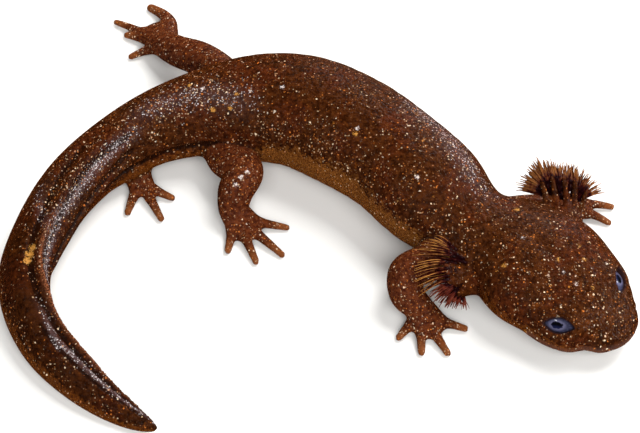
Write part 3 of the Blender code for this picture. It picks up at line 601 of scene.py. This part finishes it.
def skin_distance(points):
    """Distance outside the whole skin, negative inside, and the traits that its colour is made from. The
    body, the limbs and the gill stems are let into one another; the floor cuts all of it level."""
    value, traits = body_distance(points)
    for name in ("limb", "toe", "crease"):
        traits[name] = np.zeros(len(points))
    add_head_forms(points, value, traits)
    for joints, tips in LIMBS:
        add_limb(points, value, traits, joints, tips)
    for row in STEMS:
        path, radius = stem_path(*row)
        near = inside_box(points, path, 3)
        stem, _ = tube_distance(points[near], path, radius, radius)
        value[near] = soft_least(value[near], stem, STEM_FILLET)
    return soft_most(value, -points[:, 2], SOLE_FILLET), traits


def steepest(points, step=0.02):
    """The skin distance at points and its gradient there."""
    here = skin_distance(points)[0]
    slope = np.stack([skin_distance(points + step * axis)[0] - here for axis in np.eye(3)], axis=1) / step
    return here, slope


def settle(points, rounds):
    """Moves points straight onto the skin: each by its distance over the gradient's length."""
    for _ in range(rounds):
        here, slope = steepest(points)
        hop = here / np.maximum((slope**2).sum(1), 0.05)
        points = points - np.clip(hop, -0.15, 0.15)[:, None] * slope
    return points


def even_out(points, quads, rounds):
    """Draws each point half way to the mean of its neighbours."""
    ends = np.concatenate([quads[:, [0, 1]], quads[:, [1, 2]], quads[:, [2, 3]], quads[:, [3, 0]]])
    count = np.bincount(ends[:, 0], minlength=len(points))[:, None]
    for _ in range(rounds):
        sums = [np.bincount(ends[:, 0], points[ends[:, 1], i], len(points)) for i in range(3)]
        points = (points + np.stack(sums, axis=1) / count) / 2
    return points


GRAIN = 0.335  # millimetres between the marks at which the skin's shape is read
BLOCK = 4
REGION = ((-49.5, -39.5, -0.9), (49.5, 54.5, 16.3))


def skin_surface():
    """The surface where the skin distance is nought. It is read on a coarse grid of blocks first, then on a
    fine grid wherever the surface may pass, and the fine grid's crossings are joined by four-sided
    faces."""
    low, high = np.array(REGION)
    blocks = np.ceil((high - low) / (GRAIN * BLOCK)).astype(int)
    marks = np.stack(np.meshgrid(*[np.arange(n) for n in blocks], indexing="ij"), axis=-1).reshape(-1, 3)
    coarse = skin_distance(low + (marks * BLOCK + (BLOCK - 1) / 2) * GRAIN)[0].reshape(blocks)
    fine = coarse.repeat(BLOCK, 0).repeat(BLOCK, 1).repeat(BLOCK, 2).astype(np.float32)
    near = np.argwhere(np.abs(fine) < 2.2)
    fine[tuple(near.T)] = skin_distance(low + near * GRAIN)[0]
    grid = openvdb.FloatGrid(FAR)
    grid.copyFromArray(np.clip(fine, -3, 3))
    points, quads = grid.convertToQuads(isovalue=0.0)
    points = low + np.asarray(points, float) * GRAIN
    quads = np.asarray(quads, int)
    points = settle(even_out(points, quads, 3), 3)
    corners = points[quads]
    facing = np.cross(corners[:, 2] - corners[:, 0], corners[:, 3] - corners[:, 1])
    if (facing * corners.mean(1)).sum() < 0:
        quads = quads[:, ::-1]
    return points, quads


PLAN_TO_FRAME = np.mean(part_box("eye_right"), axis=0) / MM - eye_frame(RIGHT)[0]


def placed(name, data):
    """A new object with this data, put into the scene."""
    made = bpy.data.objects.new(name, data)
    bpy.context.scene.collection.objects.link(made)
    return made


def piece(name, points, faces, traits, look, nodes):
    """A finished piece: plan points carried onto the frame, smooth faces, its traits as attributes of its
    points."""
    mesh = bpy.data.meshes.new(name)
    mesh.from_pydata(((points + PLAN_TO_FRAME) * MM).tolist(), [], faces)
    for trait, values in traits.items():
        layer = mesh.attributes.new(trait, "FLOAT", "POINT")
        layer.data.foreach_set("value", np.asarray(values, np.float32))
    mesh.materials.append(look)
    mesh.shade_smooth()
    mesh.update()
    made = placed(name, mesh)
    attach(made, "root")
    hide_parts(*nodes)
    return made


RIM_START = (112, 124)  # from the snout tip: where the tawny beads and painted rim light along the tail fin's edge begin
RIM_HALF = 3.5  # half its width in degrees round the section


def make_skin(look):
    """The skin in one piece, over every solid of flesh."""
    points, quads = skin_surface()
    traits = skin_distance(points)[1]
    reach = np.interp(traits["at"], *np.transpose(UNDERSIDE))
    angle = traits.pop("angle")
    traits["low"] = reach - np.sin(np.radians(angle))
    stems = [np.linalg.norm(points - np.add(foot, tip) / 2, axis=1) for foot, tip, _, _ in STEMS]
    traits["low"] -= step_up(-np.min(stems, axis=0), -3.5, -2.0)
    # the folds' relief, by which the skin look paints shade into the grooves
    traits["fold"] = along_folds(traits["at"], angle) * (1 - traits["limb"])
    traits["rich"] = np.zeros(len(points))
    for along, round_it, reach, turn, amount in CROWDS:
        traits["rich"] += amount * hump(traits["at"], along, reach) * hump(angle, round_it, turn)
    at = traits["at"]
    # the tail fin's edge: tawny beads of pigment with a painted rim light
    traits["rim"] = step_up(at, *RIM_START) * hump(angle, 90, RIM_HALF) * step_up(traits.pop("up"), 0.5, 0.9)
    # Bands of painted highlight: pale glints and a grey sheen painted where the wet skin would mirror a
    # light.
    traits["frost"] = np.zeros(len(points))
    for places, half, amount in PAINTED_GLINT_BANDS:
        marks, angles = np.transpose(places)
        begun = step_up(at, marks[0] - 5, marks[0] + 3)
        lasts = step_up(-at, -marks[-1] - 3, 3 - marks[-1])
        band = amount * (begun * lasts) * hump(angle, np.interp(at, marks, angles), half)
        traits["frost"] = np.maximum(traits["frost"], band * (1 - traits["limb"]))
    # gold and pale spots of pigment, and dark spots of painted shadow between the near gill stems
    for trait, spots in (("gold", GOLD_SPOTS), ("pale", PALE_SPOTS), ("dark", GILL_GAP_SHADOWS)):
        away = [np.linalg.norm(points - spot[:3], axis=1) - spot[3] for spot in spots]
        traits[trait] = np.minimum(np.min(away, axis=0), 2.0)
    traits["lid"] = np.minimum(traits["lid"], 5.0)
    traits["lip"] = np.clip(traits["lip"], -5.0, 5.0)
    flesh = [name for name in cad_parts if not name.startswith(("eye_", "gill_"))]
    return piece("skin", points, quads.tolist(), traits, look, flesh)


def wrapped(rings, sides):
    """Faces over rings of points one after another, of four sides, and the fans that close them to the point
    before the first ring and the point behind the last, which are numbered after all rings."""
    marks = np.arange(rings * sides).reshape(rings, sides)
    after = np.roll(marks, -1, axis=1)
    quads = np.stack([marks[:-1], marks[1:], after[1:], after[:-1]], -1).reshape(-1, 4)
    first = np.stack([marks[0], after[0], np.full(sides, rings * sides)], -1)
    last = np.stack([after[-1], marks[-1], np.full(sides, rings * sides + 1)], -1)
    return quads, np.r_[first, last]


EYE_ROWS, EYE_SIDES = 31, 48
EYE_BULGE = 0.02  # of the radius: the clear bulge in front of the iris


def make_eye(name, hand, look):
    """An eyeball about its outward axis: on a grid of the angle from that axis and the turn about it, the
    radius, raised by a bell round the axis for the clear bulge in front of the iris."""
    centre, axes = eye_frame(hand)
    tilts, turns = np.linspace(0, np.pi, EYE_ROWS + 2)[1:-1], np.linspace(0, 2 * np.pi, EYE_SIDES + 1)[:-1]
    tilt, turn = np.meshgrid(tilts, turns, indexing="ij")
    reach = 1 + EYE_BULGE * hump(tilt, 0, 0.5)
    grid = np.stack([np.sin(tilt) * np.cos(turn), np.sin(tilt) * np.sin(turn), np.cos(tilt)], -1)
    grid = grid * reach[..., None] * np.array(EYE_HALVES)
    poles = [[0, 0, (1 + EYE_BULGE) * EYE_HALVES[2]], [0, 0, -EYE_HALVES[2]]]
    local = np.r_[grid.reshape(-1, 3), poles] + EYE_SET
    quads, fans = wrapped(EYE_ROWS, EYE_SIDES)
    across = local[:, 1] - LID_SHIFT[hand] - LID_SLOPE[hand] * local[:, 0]
    traits = {"slit_way": local[:, 0], "lid_way": across, "lid": np.minimum(lid_distance(local, hand), 2.0)}
    faces = [*quads.tolist(), *fans.tolist()]
    if np.linalg.det(axes) < 0:
        faces = [face[::-1] for face in faces]
    return piece(name, centre + local @ axes, faces, traits, look, [name])


THREAD_SIDES = 6
THREAD_RINGS = 9


def threads(roots, bends, tips, radii):
    """Many tapering threads as one closed mesh each. A point's place is on the curve that starts at the
    root towards the bend point and comes from there into the tip, plus the radius round it. The radius
    shrinks from root to tip by three quarters times the share of the way to the power 1.5."""
    count = len(roots)
    share = np.linspace(0, 1, THREAD_RINGS)
    weights = [(1 - share) ** 2, 2 * share * (1 - share), share**2]
    path = sum(weight[:, None] * ends[:, None] for weight, ends in zip(weights, (roots, bends, tips)))
    along = unit(np.gradient(path, axis=1))
    level = unit(np.cross(along, [0.31, 0.2, 0.93]))
    upright = np.cross(level, along)
    turn = np.arange(THREAD_SIDES) / THREAD_SIDES * 2 * np.pi
    width = radii[:, None] * (1 - 0.75 * share**1.5)
    across = (width[..., None] * np.cos(turn))[..., None] * level[:, :, None]
    upward = (width[..., None] * np.sin(turn))[..., None] * upright[:, :, None]
    rings = path[:, :, None] + across + upward
    # how far each side of a thread turns towards FAN_FACING, where the gill look paints its highlight
    facing = unit(across + upward) @ unit(FAN_FACING)
    ends = path[:, -1] + along[:, -1] * radii[:, None] * 0.4
    points = np.concatenate([rings.reshape(count, -1, 3), path[:, :1], ends[:, None]], axis=1)
    size = points.shape[1]
    quads, fans = wrapped(THREAD_RINGS, THREAD_SIDES)
    start = (np.arange(count) * size)[:, None, None]
    faces = (quads + start).reshape(-1, 4).tolist()
    faces += (fans + start).reshape(-1, 3).tolist()
    shares = np.r_[np.repeat(share, THREAD_SIDES), 0, 1]
    facing = np.c_[facing.reshape(count, -1), np.ones((count, 2))]
    return points.reshape(-1, 3), faces, np.tile(shares, count), size, facing.ravel()


# Layers of fronds in a gill, front to back: how many are left out, how thick they are and how light they
# are painted. The layers behind are painted darker, as shade between the fronds.
LAYERS = ((0, 1.0, 1.0), (0, 1.3, 0.4), (3, 1.5, 0.7))
LAYER_GAP = 0.42  # millimetres from one layer to the next
HAIR_TIPWARD = 0.45  # a hair's root is coloured like this share of the way along a frond


def make_fringe(name, fan, look, seed):
    """The fronds of one gill. They start side by side along a row, set out one way and bend over to a row of
    tips. Two layers stand behind the first, thicker and painted darker as shade, and fine hairs may stand on
    the fronds of the first."""
    draw = np.random.default_rng(seed)
    row, ways, tips, count, radius, gold_and_highlight, hairs = fan
    tips = np.array(tips)
    spots = distances(tips)
    parts = []
    for layer, (fewer, thick, shine) in enumerate(LAYERS):
        number = count - fewer
        share = np.clip((np.arange(number) + 0.5 + draw.uniform(-0.25, 0.25, number)) / number, 0, 1)
        back = -LAYER_GAP * layer * np.array(FAN_FACING)
        starts, leads = (
            np.array(first) + share[:, None] * np.subtract(last, first) for first, last in (row, ways)
        )
        starts = starts + back - 0.9 * layer * leads + draw.normal(0, 0.12, starts.shape)
        ends = np.stack([np.interp(share * spots[-1], spots, tips[:, i]) for i in range(3)], axis=1)
        ends = ends + back + draw.normal(0, 0.16, ends.shape)
        ends = starts + (ends - starts) * draw.uniform(0.88 - 0.1 * layer, 1.1 - 0.1 * layer, (number, 1))
        bends = starts + leads * draw.uniform(0.9, 1.3, (number, 1))
        wide = radius * thick * draw.uniform(0.85, 1.15, number)
        # tone: random for each frond, times its layer's painted lightness, which shades the layers behind
        tone = shine * draw.uniform(0.55, 1.0, number)
        parts.append((threads(starts, bends, ends, wide), tone, 0.0))
        if hairs and layer == 0:
            places = np.linspace(0.35, 0.97, hairs)
            place, way, which = np.meshgrid(places, (-1, 1), range(number), indexing="ij")
            place, way, which = place.ravel()[:, None], way.ravel()[:, None], which.ravel()
            place = np.clip(place + draw.uniform(-0.05, 0.05, place.shape), 0, 1)
            first, middle, last = starts[which], bends[which], ends[which]
            foot = (1 - place) ** 2 * first + 2 * place * (1 - place) * middle + place**2 * last
            along = unit((1 - place) * (middle - first) + place * (last - middle))
            beside = np.cross(along, FAN_FACING) * way
            length = HAIR_LENGTH * draw.uniform(0.6, 1.2, place.shape)
            tip = foot + length * unit(along + 0.32 * beside + draw.normal(0, 0.1, foot.shape))
            bend = foot + 0.5 * length * unit(along + 0.6 * beside)
            hair = threads(foot, bend, tip, np.full(len(foot), HAIR_RADIUS))
            parts.append((hair, tone[which], HAIR_TIPWARD))
    points = np.concatenate([made[0] for made, _, _ in parts])
    faces, first = [], 0
    for made, _, _ in parts:
        faces += [[corner + first for corner in face] for face in made[1]]
        first += len(made[0])
    traits = {
        "tipward": np.concatenate([low + (1 - low) * made[2] for made, _, low in parts]),
        "tone": np.concatenate([np.repeat(tone, made[3]) for made, tone, _ in parts]),
        "facing": np.concatenate([made[4] for made, _, _ in parts]),
        "gold_and_highlight": np.full(len(points), gold_and_highlight),
    }
    return piece(f"{name}_fringe", points, faces, traits, look, [name])


def colour(code):
    """A colour from its sRGB hex code, turned linear."""
    parts = np.array([int(code[i : i + 2], 16) for i in (1, 3, 5)]) / 255
    linear = np.where(parts <= 0.04045, parts / 12.92, ((parts + 0.055) / 1.055) ** 2.4)
    return (*linear.tolist(), 1.0)


def add(tree, kind, *values, take=None, **settings):
    """Adds a node and gives one of its outputs. A kind is Blender's name for it, its settings, the sockets
    that the values go to in their order, and its usual output. A value is a number, a hex colour or a
    link."""
    name, fixed, sockets, output = kind
    made = tree.nodes.new(name)
    for setting, value in {**fixed, **settings}.items():
        setattr(made, setting, value)
    for socket, value in zip(sockets, values):
        if isinstance(value, bpy.types.NodeSocket):
            tree.links.new(value, made.inputs[socket])
        else:
            made.inputs[socket].default_value = colour(value) if isinstance(value, str) else value
    return made.outputs[output if take is None else take]


def new_look(name, finish):
    """A named material with its shader's sockets set to the finish: a way to add nodes to it, its links and
    its shader."""
    look = bpy.data.materials.new(name)
    look.use_nodes = True
    tree = look.node_tree
    shader = tree.nodes["Principled BSDF"]
    for socket, value in finish.items():
        shader.inputs[socket].default_value = value
    return look, partial(add, tree), tree.links, shader


TIMES, SUM, LESS, OVER, POWER, SIZE, BELOW = (
    ("ShaderNodeMath", {"operation": kind}, (0, 1), 0)
    for kind in ("MULTIPLY", "ADD", "SUBTRACT", "DIVIDE", "POWER", "ABSOLUTE", "LESS_THAN")
)
# Value, the range that it comes in and the range that it is spread over, in a straight line or a soft S.
RANGE, SOFT = (
    ("ShaderNodeMapRange", {"interpolation_type": kind}, (0, 1, 2, 3, 4), 0)
    for kind in ("LINEAR", "SMOOTHSTEP")
)
TINT = ("ShaderNodeMix", {"data_type": "RGBA"}, (0, 6, 7), 2)  # share of the second colour, and both colours
SCALED = ("ShaderNodeVectorMath", {"operation": "SCALE"}, (0, "Scale"), 0)
SHIFTED = ("ShaderNodeVectorMath", {"operation": "ADD"}, (0, 1), 0)
NOISE = ("ShaderNodeTexNoise", {}, ("Vector", "Scale", "Detail", "Roughness"), 0)
CELLS = ("ShaderNodeTexVoronoi", {}, ("Vector", "Scale"), "Distance")
CHANNELS = ("ShaderNodeSeparateColor", {}, (0,), 0)
BUMP = ("ShaderNodeBump", {}, ("Strength", "Distance", "Height"), 0)
PLACE = ("ShaderNodeTexCoord", {}, (), "Object")
TRAIT = ("ShaderNodeAttribute", {}, (), "Fac")

# Layers of pigment flecks: millimetres between them, their radius, how many of the places hold one, how
# bright they are, and their colours from warm to pale. The palest also stand in for glints of the wet skin,
# as painted highlight.
FLECKS = (
    (0.34, 0.1, 0.5, 0.75, "#a0602e", "#d8b890"),
    (0.46, 0.115, 0.5, 1.0, "#b8682a", "#ecd2b0"),
    (0.8, 0.12, 0.38, 1.0, "#c86f2c", "#f6e4cc"),
    (1.5, 0.16, 0.16, 0.95, "#cf8434", "#f3e2cc"),
    (3.1, 0.3, 0.12, 0.6, "#c47f2e", "#dcae66"),
)

PAINTED_GLINT_GRAIN = 0.22  # millimetres between the painted highlight glints of the glint bands
GRANULE = 0.36  # millimetres between the skin's granules
GRANULE_RELIEF = 0.0002  # metres


def wet_skin():
    """Wet amphibian skin: chocolate brown, mottled, strewn with gold and cream pigment flecks, the palest of
    which also stand in for glitter as painted highlight, and finely granular under a film of water, which
    glitters where it mirrors a light. Bands of painted highlight, pale glints over a grey sheen, are painted
    into its colour, and painted shade darkens the mouth's line, the creases, the grooves and the eye rims."""
    finish = {
        "IOR": 1.36, "Sheen Weight": 0.12, "Specular IOR Level": 0.38, "Sheen Roughness": 0.3,
        "Sheen Tint": colour("#d0641c"),
    }
    look, node, links, shader = new_look("wet_speckled_skin", finish)
    place = node(SCALED, node(PLACE), 1 / MM)
    drift = node(NOISE, place, 3.2, 2.0, take="Color")
    drift = node(SCALED, drift, 0.26)
    shaken = node(SHIFTED, place, drift)
    low, along, limb, toe, lid, lip, crease, fold, rich, gold, pale, dark, frost, rim = (
        node(TRAIT, attribute_name=name)
        for name in "low at limb toe lid lip crease fold rich gold pale dark frost rim".split()
    )
    broad = node(NOISE, place, 0.16, 2.0)
    patches = node(NOISE, place, 0.5, 4.0)
    mottle = node(NOISE, place, 1.3, 6.0, 0.68)
    fine = node(NOISE, place, 4.2, 3.0, 0.65)
    rust = node(NOISE, shaken, 0.9, 3.0, 0.6)

    # Ground colour: two browns in broad drifts, dark clouds, paler flesh on the limbs, and a painted grey
    # sheen in the bands of painted highlight.
    tone = node(SOFT, mottle, 0.36, 0.66)
    brown = node(TINT, tone, "#240c02", "#46220b")
    ruddy = node(TINT, tone, "#280d03", "#4d210b")
    share = node(SOFT, broad, 0.45, 0.62)
    skin = node(TINT, share, brown, ruddy)
    flesh = node(TINT, tone, "#37150a", "#622f17")
    for share, tint in (
        (node(SOFT, patches, 0.5, 0.7, 0.0, 0.4), "#180a03"),
        (node(TIMES, limb, 0.8), flesh),
        (node(SOFT, along, 92.0, 112.0, 0.0, 0.35), "#160702"),
        # painted sheen: a grey tint under the painted glints
        (node(TIMES, frost, 0.4), "#5c4a4c"),
    ):
        skin = node(TINT, share, skin, tint)

    # Underside: tan along the trunk, amber under the head and tail, with a ragged border on the flank.
    trunk = node(TIMES, node(SOFT, along, 26.0, 34.0), node(SOFT, along, 82.0, 72.0))
    ragged = node(RANGE, mottle, 0.3, 0.7, -0.2, 0.2)
    belly = node(SOFT, node(SUM, low, ragged), -0.12, 0.12)
    grain = node(SOFT, fine, 0.36, 0.64)
    tan = node(TINT, grain, "#4a240a", "#83501f")
    amber = node(TINT, grain, "#48200a", "#7a420f")
    under = node(TINT, trunk, amber, tan)
    bare = node(LESS, 1.0, limb)
    share = node(TIMES, node(RANGE, trunk, 0.0, 1.0, 0.55, 0.9), node(TIMES, belly, bare))
    skin = node(TINT, share, skin, under)

    # Rust stains, tawny toes, greyer lips that are partly lip colour and partly a painted sheen, painted
    # shade in the mouth's line, the creases and the grooves of the folds, and tawny beads along the tail
    # fin's edge that are partly pigment and partly a painted rim light.
    warm = node(SOFT, rust, 0.6, 0.72, 0.0, 0.5)
    lips = node(TIMES, node(SOFT, node(SUM, lip, 0.2), 2.0, 1.1), node(SOFT, lip, -2.0, -1.2))
    beads = node(SOFT, fine, 0.4, 0.62)
    for share, tint in (
        (node(TIMES, warm, node(RANGE, rich, 0.0, 1.0, 0.35, 1.0)), "#8a4614"),
        (node(SOFT, toe, 0.6, 1.0, 0.0, 0.5), "#8a4f28"),
        # greyer lips: partly lip colour, partly a painted sheen
        (node(TIMES, lips, 0.5), "#543a33"),
        # painted shade in the groove of the mouth's line
        (node(SOFT, node(SIZE, lip), 0.2, 0.06, 0.0, 0.85), "#120704"),
        # painted shade in the crease round each limb's root
        (node(SOFT, crease, 0.15, 0.9, 0.0, 0.75), "#120704"),
        # painted shade in the grooves of the folds
        (node(SOFT, fold, -0.03, -0.22, 0.0, 0.8), "#150703"),
        # tawny beads along the tail fin's edge: partly pigment, partly a painted rim light
        (node(TIMES, beads, node(TIMES, rim, 0.8)), "#9c5c3c"),
    ):
        skin = node(TINT, share, skin, tint)

    # Flecks: each cell of a layer may hold one, more of them where the pigment crowds.
    height = node(TIMES, mottle, 0.3)
    crowd = node(NOISE, place, 0.33, 3.0)
    crowd = node(RANGE, crowd, 0.35, 0.65, 0.35, 1.15)
    for more in (rich, node(TIMES, toe, 2.0), node(TIMES, limb, 0.35)):
        crowd = node(SUM, crowd, more)
    ragged = node(RANGE, fine, 0.3, 0.7, -0.2, 0.17)
    for apart, size, many, bright, warmest, palest in FLECKS:
        away = node(CELLS, shaken, 1 / apart)
        parts = node(CHANNELS, away.node.outputs["Color"]).node.outputs
        chosen = node(BELOW, parts[0], node(TIMES, crowd, many))
        reach = node(RANGE, parts[1], 0.0, 1.0, size / apart * 0.55, size / apart * 1.3)
        spot = node(SOFT, node(SUM, node(LESS, reach, away), ragged), -0.03, 0.09)
        spot = node(TIMES, spot, chosen)
        tint = node(TINT, node(SOFT, parts[2], 0.35, 0.85), warmest, palest)
        light = node(POWER, node(RANGE, parts[1], 0.0, 1.0, 0.1, bright), 1.5)
        skin = node(TINT, node(TIMES, spot, light), skin, tint)
        height = node(SUM, height, node(TIMES, spot, 0.2))

    # Painted highlight: pale glints painted into the colour of the glint bands, where the wet skin would
    # mirror a light, drawn as coarse as they need to show.
    grains = node(CELLS, shaken, 1 / PAINTED_GLINT_GRAIN)
    parts = node(CHANNELS, grains.node.outputs["Color"]).node.outputs
    chosen = node(BELOW, parts[0], node(TIMES, frost, 0.75))
    glint = node(TIMES, node(TIMES, node(SOFT, grains, 0.6, 0.25), chosen), parts[1])
    skin = node(TINT, glint, skin, "#d5cccc")

    ragged = node(RANGE, fine, 0.3, 0.7, -0.28, 0.28)
    # gold and pale pigment spots, and dark spots of painted shadow between the near gill stems
    for places, tint in ((gold, "#c58a3e"), (pale, "#e0d2cc"), (dark, "#120406")):
        share = node(SOFT, node(SUM, places, ragged), 0.14, -0.16, 0.0, 0.8)
        skin = node(TINT, share, skin, tint)
    # Painted shade round the rim of each eye opening, where the lid meets the ball.
    share = node(SOFT, lid, 0.22, 0.06, 0.0, 0.85)
    skin = node(TINT, share, skin, "#241516")

    # The skin's fine granules, each a low dome, under the film of water.
    grains = node(CELLS, shaken, 1 / GRANULE)
    height = node(LESS, height, node(TIMES, grains, 1.1))
    height = node(SUM, height, node(TIMES, fine, 0.3))
    relief = node(BUMP, 0.5, GRANULE_RELIEF, height)

    links.new(skin, shader.inputs["Base Color"])
    links.new(relief, shader.inputs["Normal"])
    wetness = node(RANGE, patches, 0.3, 0.7, 0.16, 0.26)
    links.new(wetness, shader.inputs["Roughness"])
    return look


def gill_tissue():
    """Gill fronds full of blood: dark maroon at the root, a painted gold highlight along the crests of the
    near gill's fronds that face FAN_FACING, and rusty brown at the tips of the others."""
    finish = {"Roughness": 0.25, "IOR": 1.36}
    look, node, links, shader = new_look("gill_frond_tissue", finish)
    tipward, tone, facing, gold_and_highlight = (
        node(TRAIT, attribute_name=name) for name in ("tipward", "tone", "facing", "gold_and_highlight")
    )
    place = node(PLACE)
    stain = node(NOISE, place, 1500.0, 3.0)
    stain = node(RANGE, stain, 0.3, 0.7, -0.3, 0.3)
    share = node(TIMES, node(SUM, tipward, stain), tone)
    inner = node(SOFT, share, 0.0, 0.35)
    # painted highlight: gold on the crest of each frond that faces FAN_FACING
    crest = node(SOFT, facing, 0.76, 1.0)
    lit = node(RANGE, gold_and_highlight, 0.0, 1.0, 0.8, crest)
    tip_colour_and_highlight = node(TINT, gold_and_highlight, "#6b3222", "#e8a24c")
    outer = node(SOFT, share, 0.15, 0.75)
    flesh = node(TINT, inner, "#160406", "#3c110c")
    flesh = node(TINT, node(TIMES, outer, lit), flesh, tip_colour_and_highlight)
    links.new(flesh, shader.inputs["Base Color"])
    return look


def wet_eye():
    """Eye under a clear wet surface: slate violet iris, paler round a dark pupil that is longer along the
    slit and bluish in its depth, and darkened by painted shade where the lids meet it."""
    finish = {
        "Roughness": 0.3, "Specular IOR Level": 0.1, "Coat Weight": 1.0, "Coat Roughness": 0.05,
        "Coat IOR": 1.36,
    }
    look, node, links, shader = new_look("wet_slate_eye", finish)
    along, across, lid = (
        node(TRAIT, attribute_name=name) for name in ("slit_way", "lid_way", "lid")
    )
    away = node(OVER, node(SUM, along, 0.3), 1.7)
    away = node(POWER, away, 2.0)
    away = node(SUM, away, node(POWER, across, 2.0))
    away = node(POWER, away, 0.5)
    place = node(PLACE)
    stain = node(NOISE, place, 2600.0, 4.0)
    ragged = node(RANGE, stain, 0.3, 0.7, -0.09, 0.09)
    away = node(SUM, away, ragged)
    stain = node(SOFT, stain, 0.35, 0.65)
    iris = node(TINT, stain, "#26253a", "#3b3b50")
    ring = node(SOFT, away, 0.48, 0.56)
    ring = node(TIMES, ring, node(SOFT, away, 0.9, 0.58))
    pupil = node(TINT, node(SOFT, across, 0.1, -0.45), "#030306", "#161a38")
    for share, tint in (
        (node(TIMES, ring, 0.7), "#66647f"),
        # painted shade where the lids meet the ball
        (node(SOFT, lid, -0.3, -0.02), "#1d1418"),
        (node(SOFT, away, 0.52, 0.42), pupil),
    ):
        iris = node(TINT, share, iris, tint)
    links.new(iris, shader.inputs["Base Color"])
    return look


def pale_floor():
    """Matt off-white board."""
    finish = {"Roughness": 0.8, "Specular IOR Level": 0.2}
    look, node, links, shader = new_look("matt_pale_board", finish)
    place = node(PLACE)
    tone = node(NOISE, place, 6.0)
    board = node(TINT, tone, "#eeece8", "#f4f3f0")
    links.new(board, shader.inputs["Base Color"])
    return look


FLOOR_HALF = 2.5  # metres
FLOOR_GAP = 0.00003  # metres, so that the floor doesn't flicker through the flat soles
CAMERA_RISE = 50.0  # degrees above the floor
CAMERA_AWAY = 300.0
CAMERA_AIM = (0.0, 0.0, 5.0)


def make_stage():
    """A wide floor just under the animal, a pale surround, and soft lights. Only the two strips and the two
    sparks mirror in the wet skin and eyes, as the broad lights would veil the skin's dark colour."""
    half, drop = FLOOR_HALF, -FLOOR_GAP
    mesh = bpy.data.meshes.new("floor")
    corners = [(-half, -half, drop), (half, -half, drop), (half, half, drop), (-half, half, drop)]
    mesh.from_pydata(corners, [], [(0, 1, 2, 3)])
    mesh.materials.append(pale_floor())
    floor = placed("floor", mesh)

    world = bpy.data.worlds.new("pale_room")
    world.use_nodes = True
    sky = world.node_tree.nodes["Background"]
    sky.inputs["Color"].default_value = colour("#f7f8fa")
    sky.inputs["Strength"].default_value = 0.12
    bpy.context.scene.world = world
    world.cycles_visibility.glossy = False
    floor.visible_glossy = False

    bpy.context.scene.view_settings.view_transform = "Standard"
    for name, place, size, power, shine in (
        ("box_above", (0.25, 0.20, 0.52), (0.30, 0.30), 3.2, False),
        ("box_in_front", (0.10, -0.55, 0.50), (0.60, 0.50), 6.0, False),
        ("box_behind", (0.10, 0.60, 0.29), (0.80, 0.18), 4.5, False),
        ("strip_behind", (0.20, 0.55, 0.16), (0.12, 0.16), 0.25, True),
        ("strip_aside", (0.56, -0.06, 0.23), (0.10, 0.22), 0.6, True),
        ("spark_in_front", (-0.19, -0.28, 0.50), (0.06, 0.03), 0.2, True),
        ("spark_behind", (0.45, 0.34, 0.27), (0.03, 0.06), 0.2, True),
    ):
        light = bpy.data.lights.new(name, "AREA")
        light.shape = "RECTANGLE"
        light.size, light.size_y = size
        light.energy = power
        lamp = placed(name, light)
        lamp.location = place
        lamp.rotation_euler = (-Vector(place)).to_track_quat("-Z", "Y").to_euler()
        lamp.visible_glossy = shine


def make_camera():
    """A long lens looking down at half a right angle and a little more, straight along the plan's +Y."""
    rise = np.radians(CAMERA_RISE)
    place = CAMERA_AIM + PLAN_TO_FRAME + CAMERA_AWAY * np.array([0, -np.cos(rise), np.sin(rise)])
    camera = bpy.data.cameras.new("camera")
    camera.lens = 110.0
    camera.sensor_width = 36.0
    camera.clip_start = 0.01
    view = placed("camera", camera)
    view.location = (place * MM).tolist()
    view.rotation_euler = (np.pi / 2 - rise, 0, 0)
    bpy.context.scene.camera = view


make_skin(wet_skin())
eye_look = wet_eye()
make_eye("eye_right", RIGHT, eye_look)
make_eye("eye_left", LEFT, eye_look)
gill_look = gill_tissue()
for seed, (name, fan) in enumerate(FANS.items()):
    make_fringe(name, fan, gill_look, seed)
make_stage()
make_camera()

bpy.context.view_layer.update()
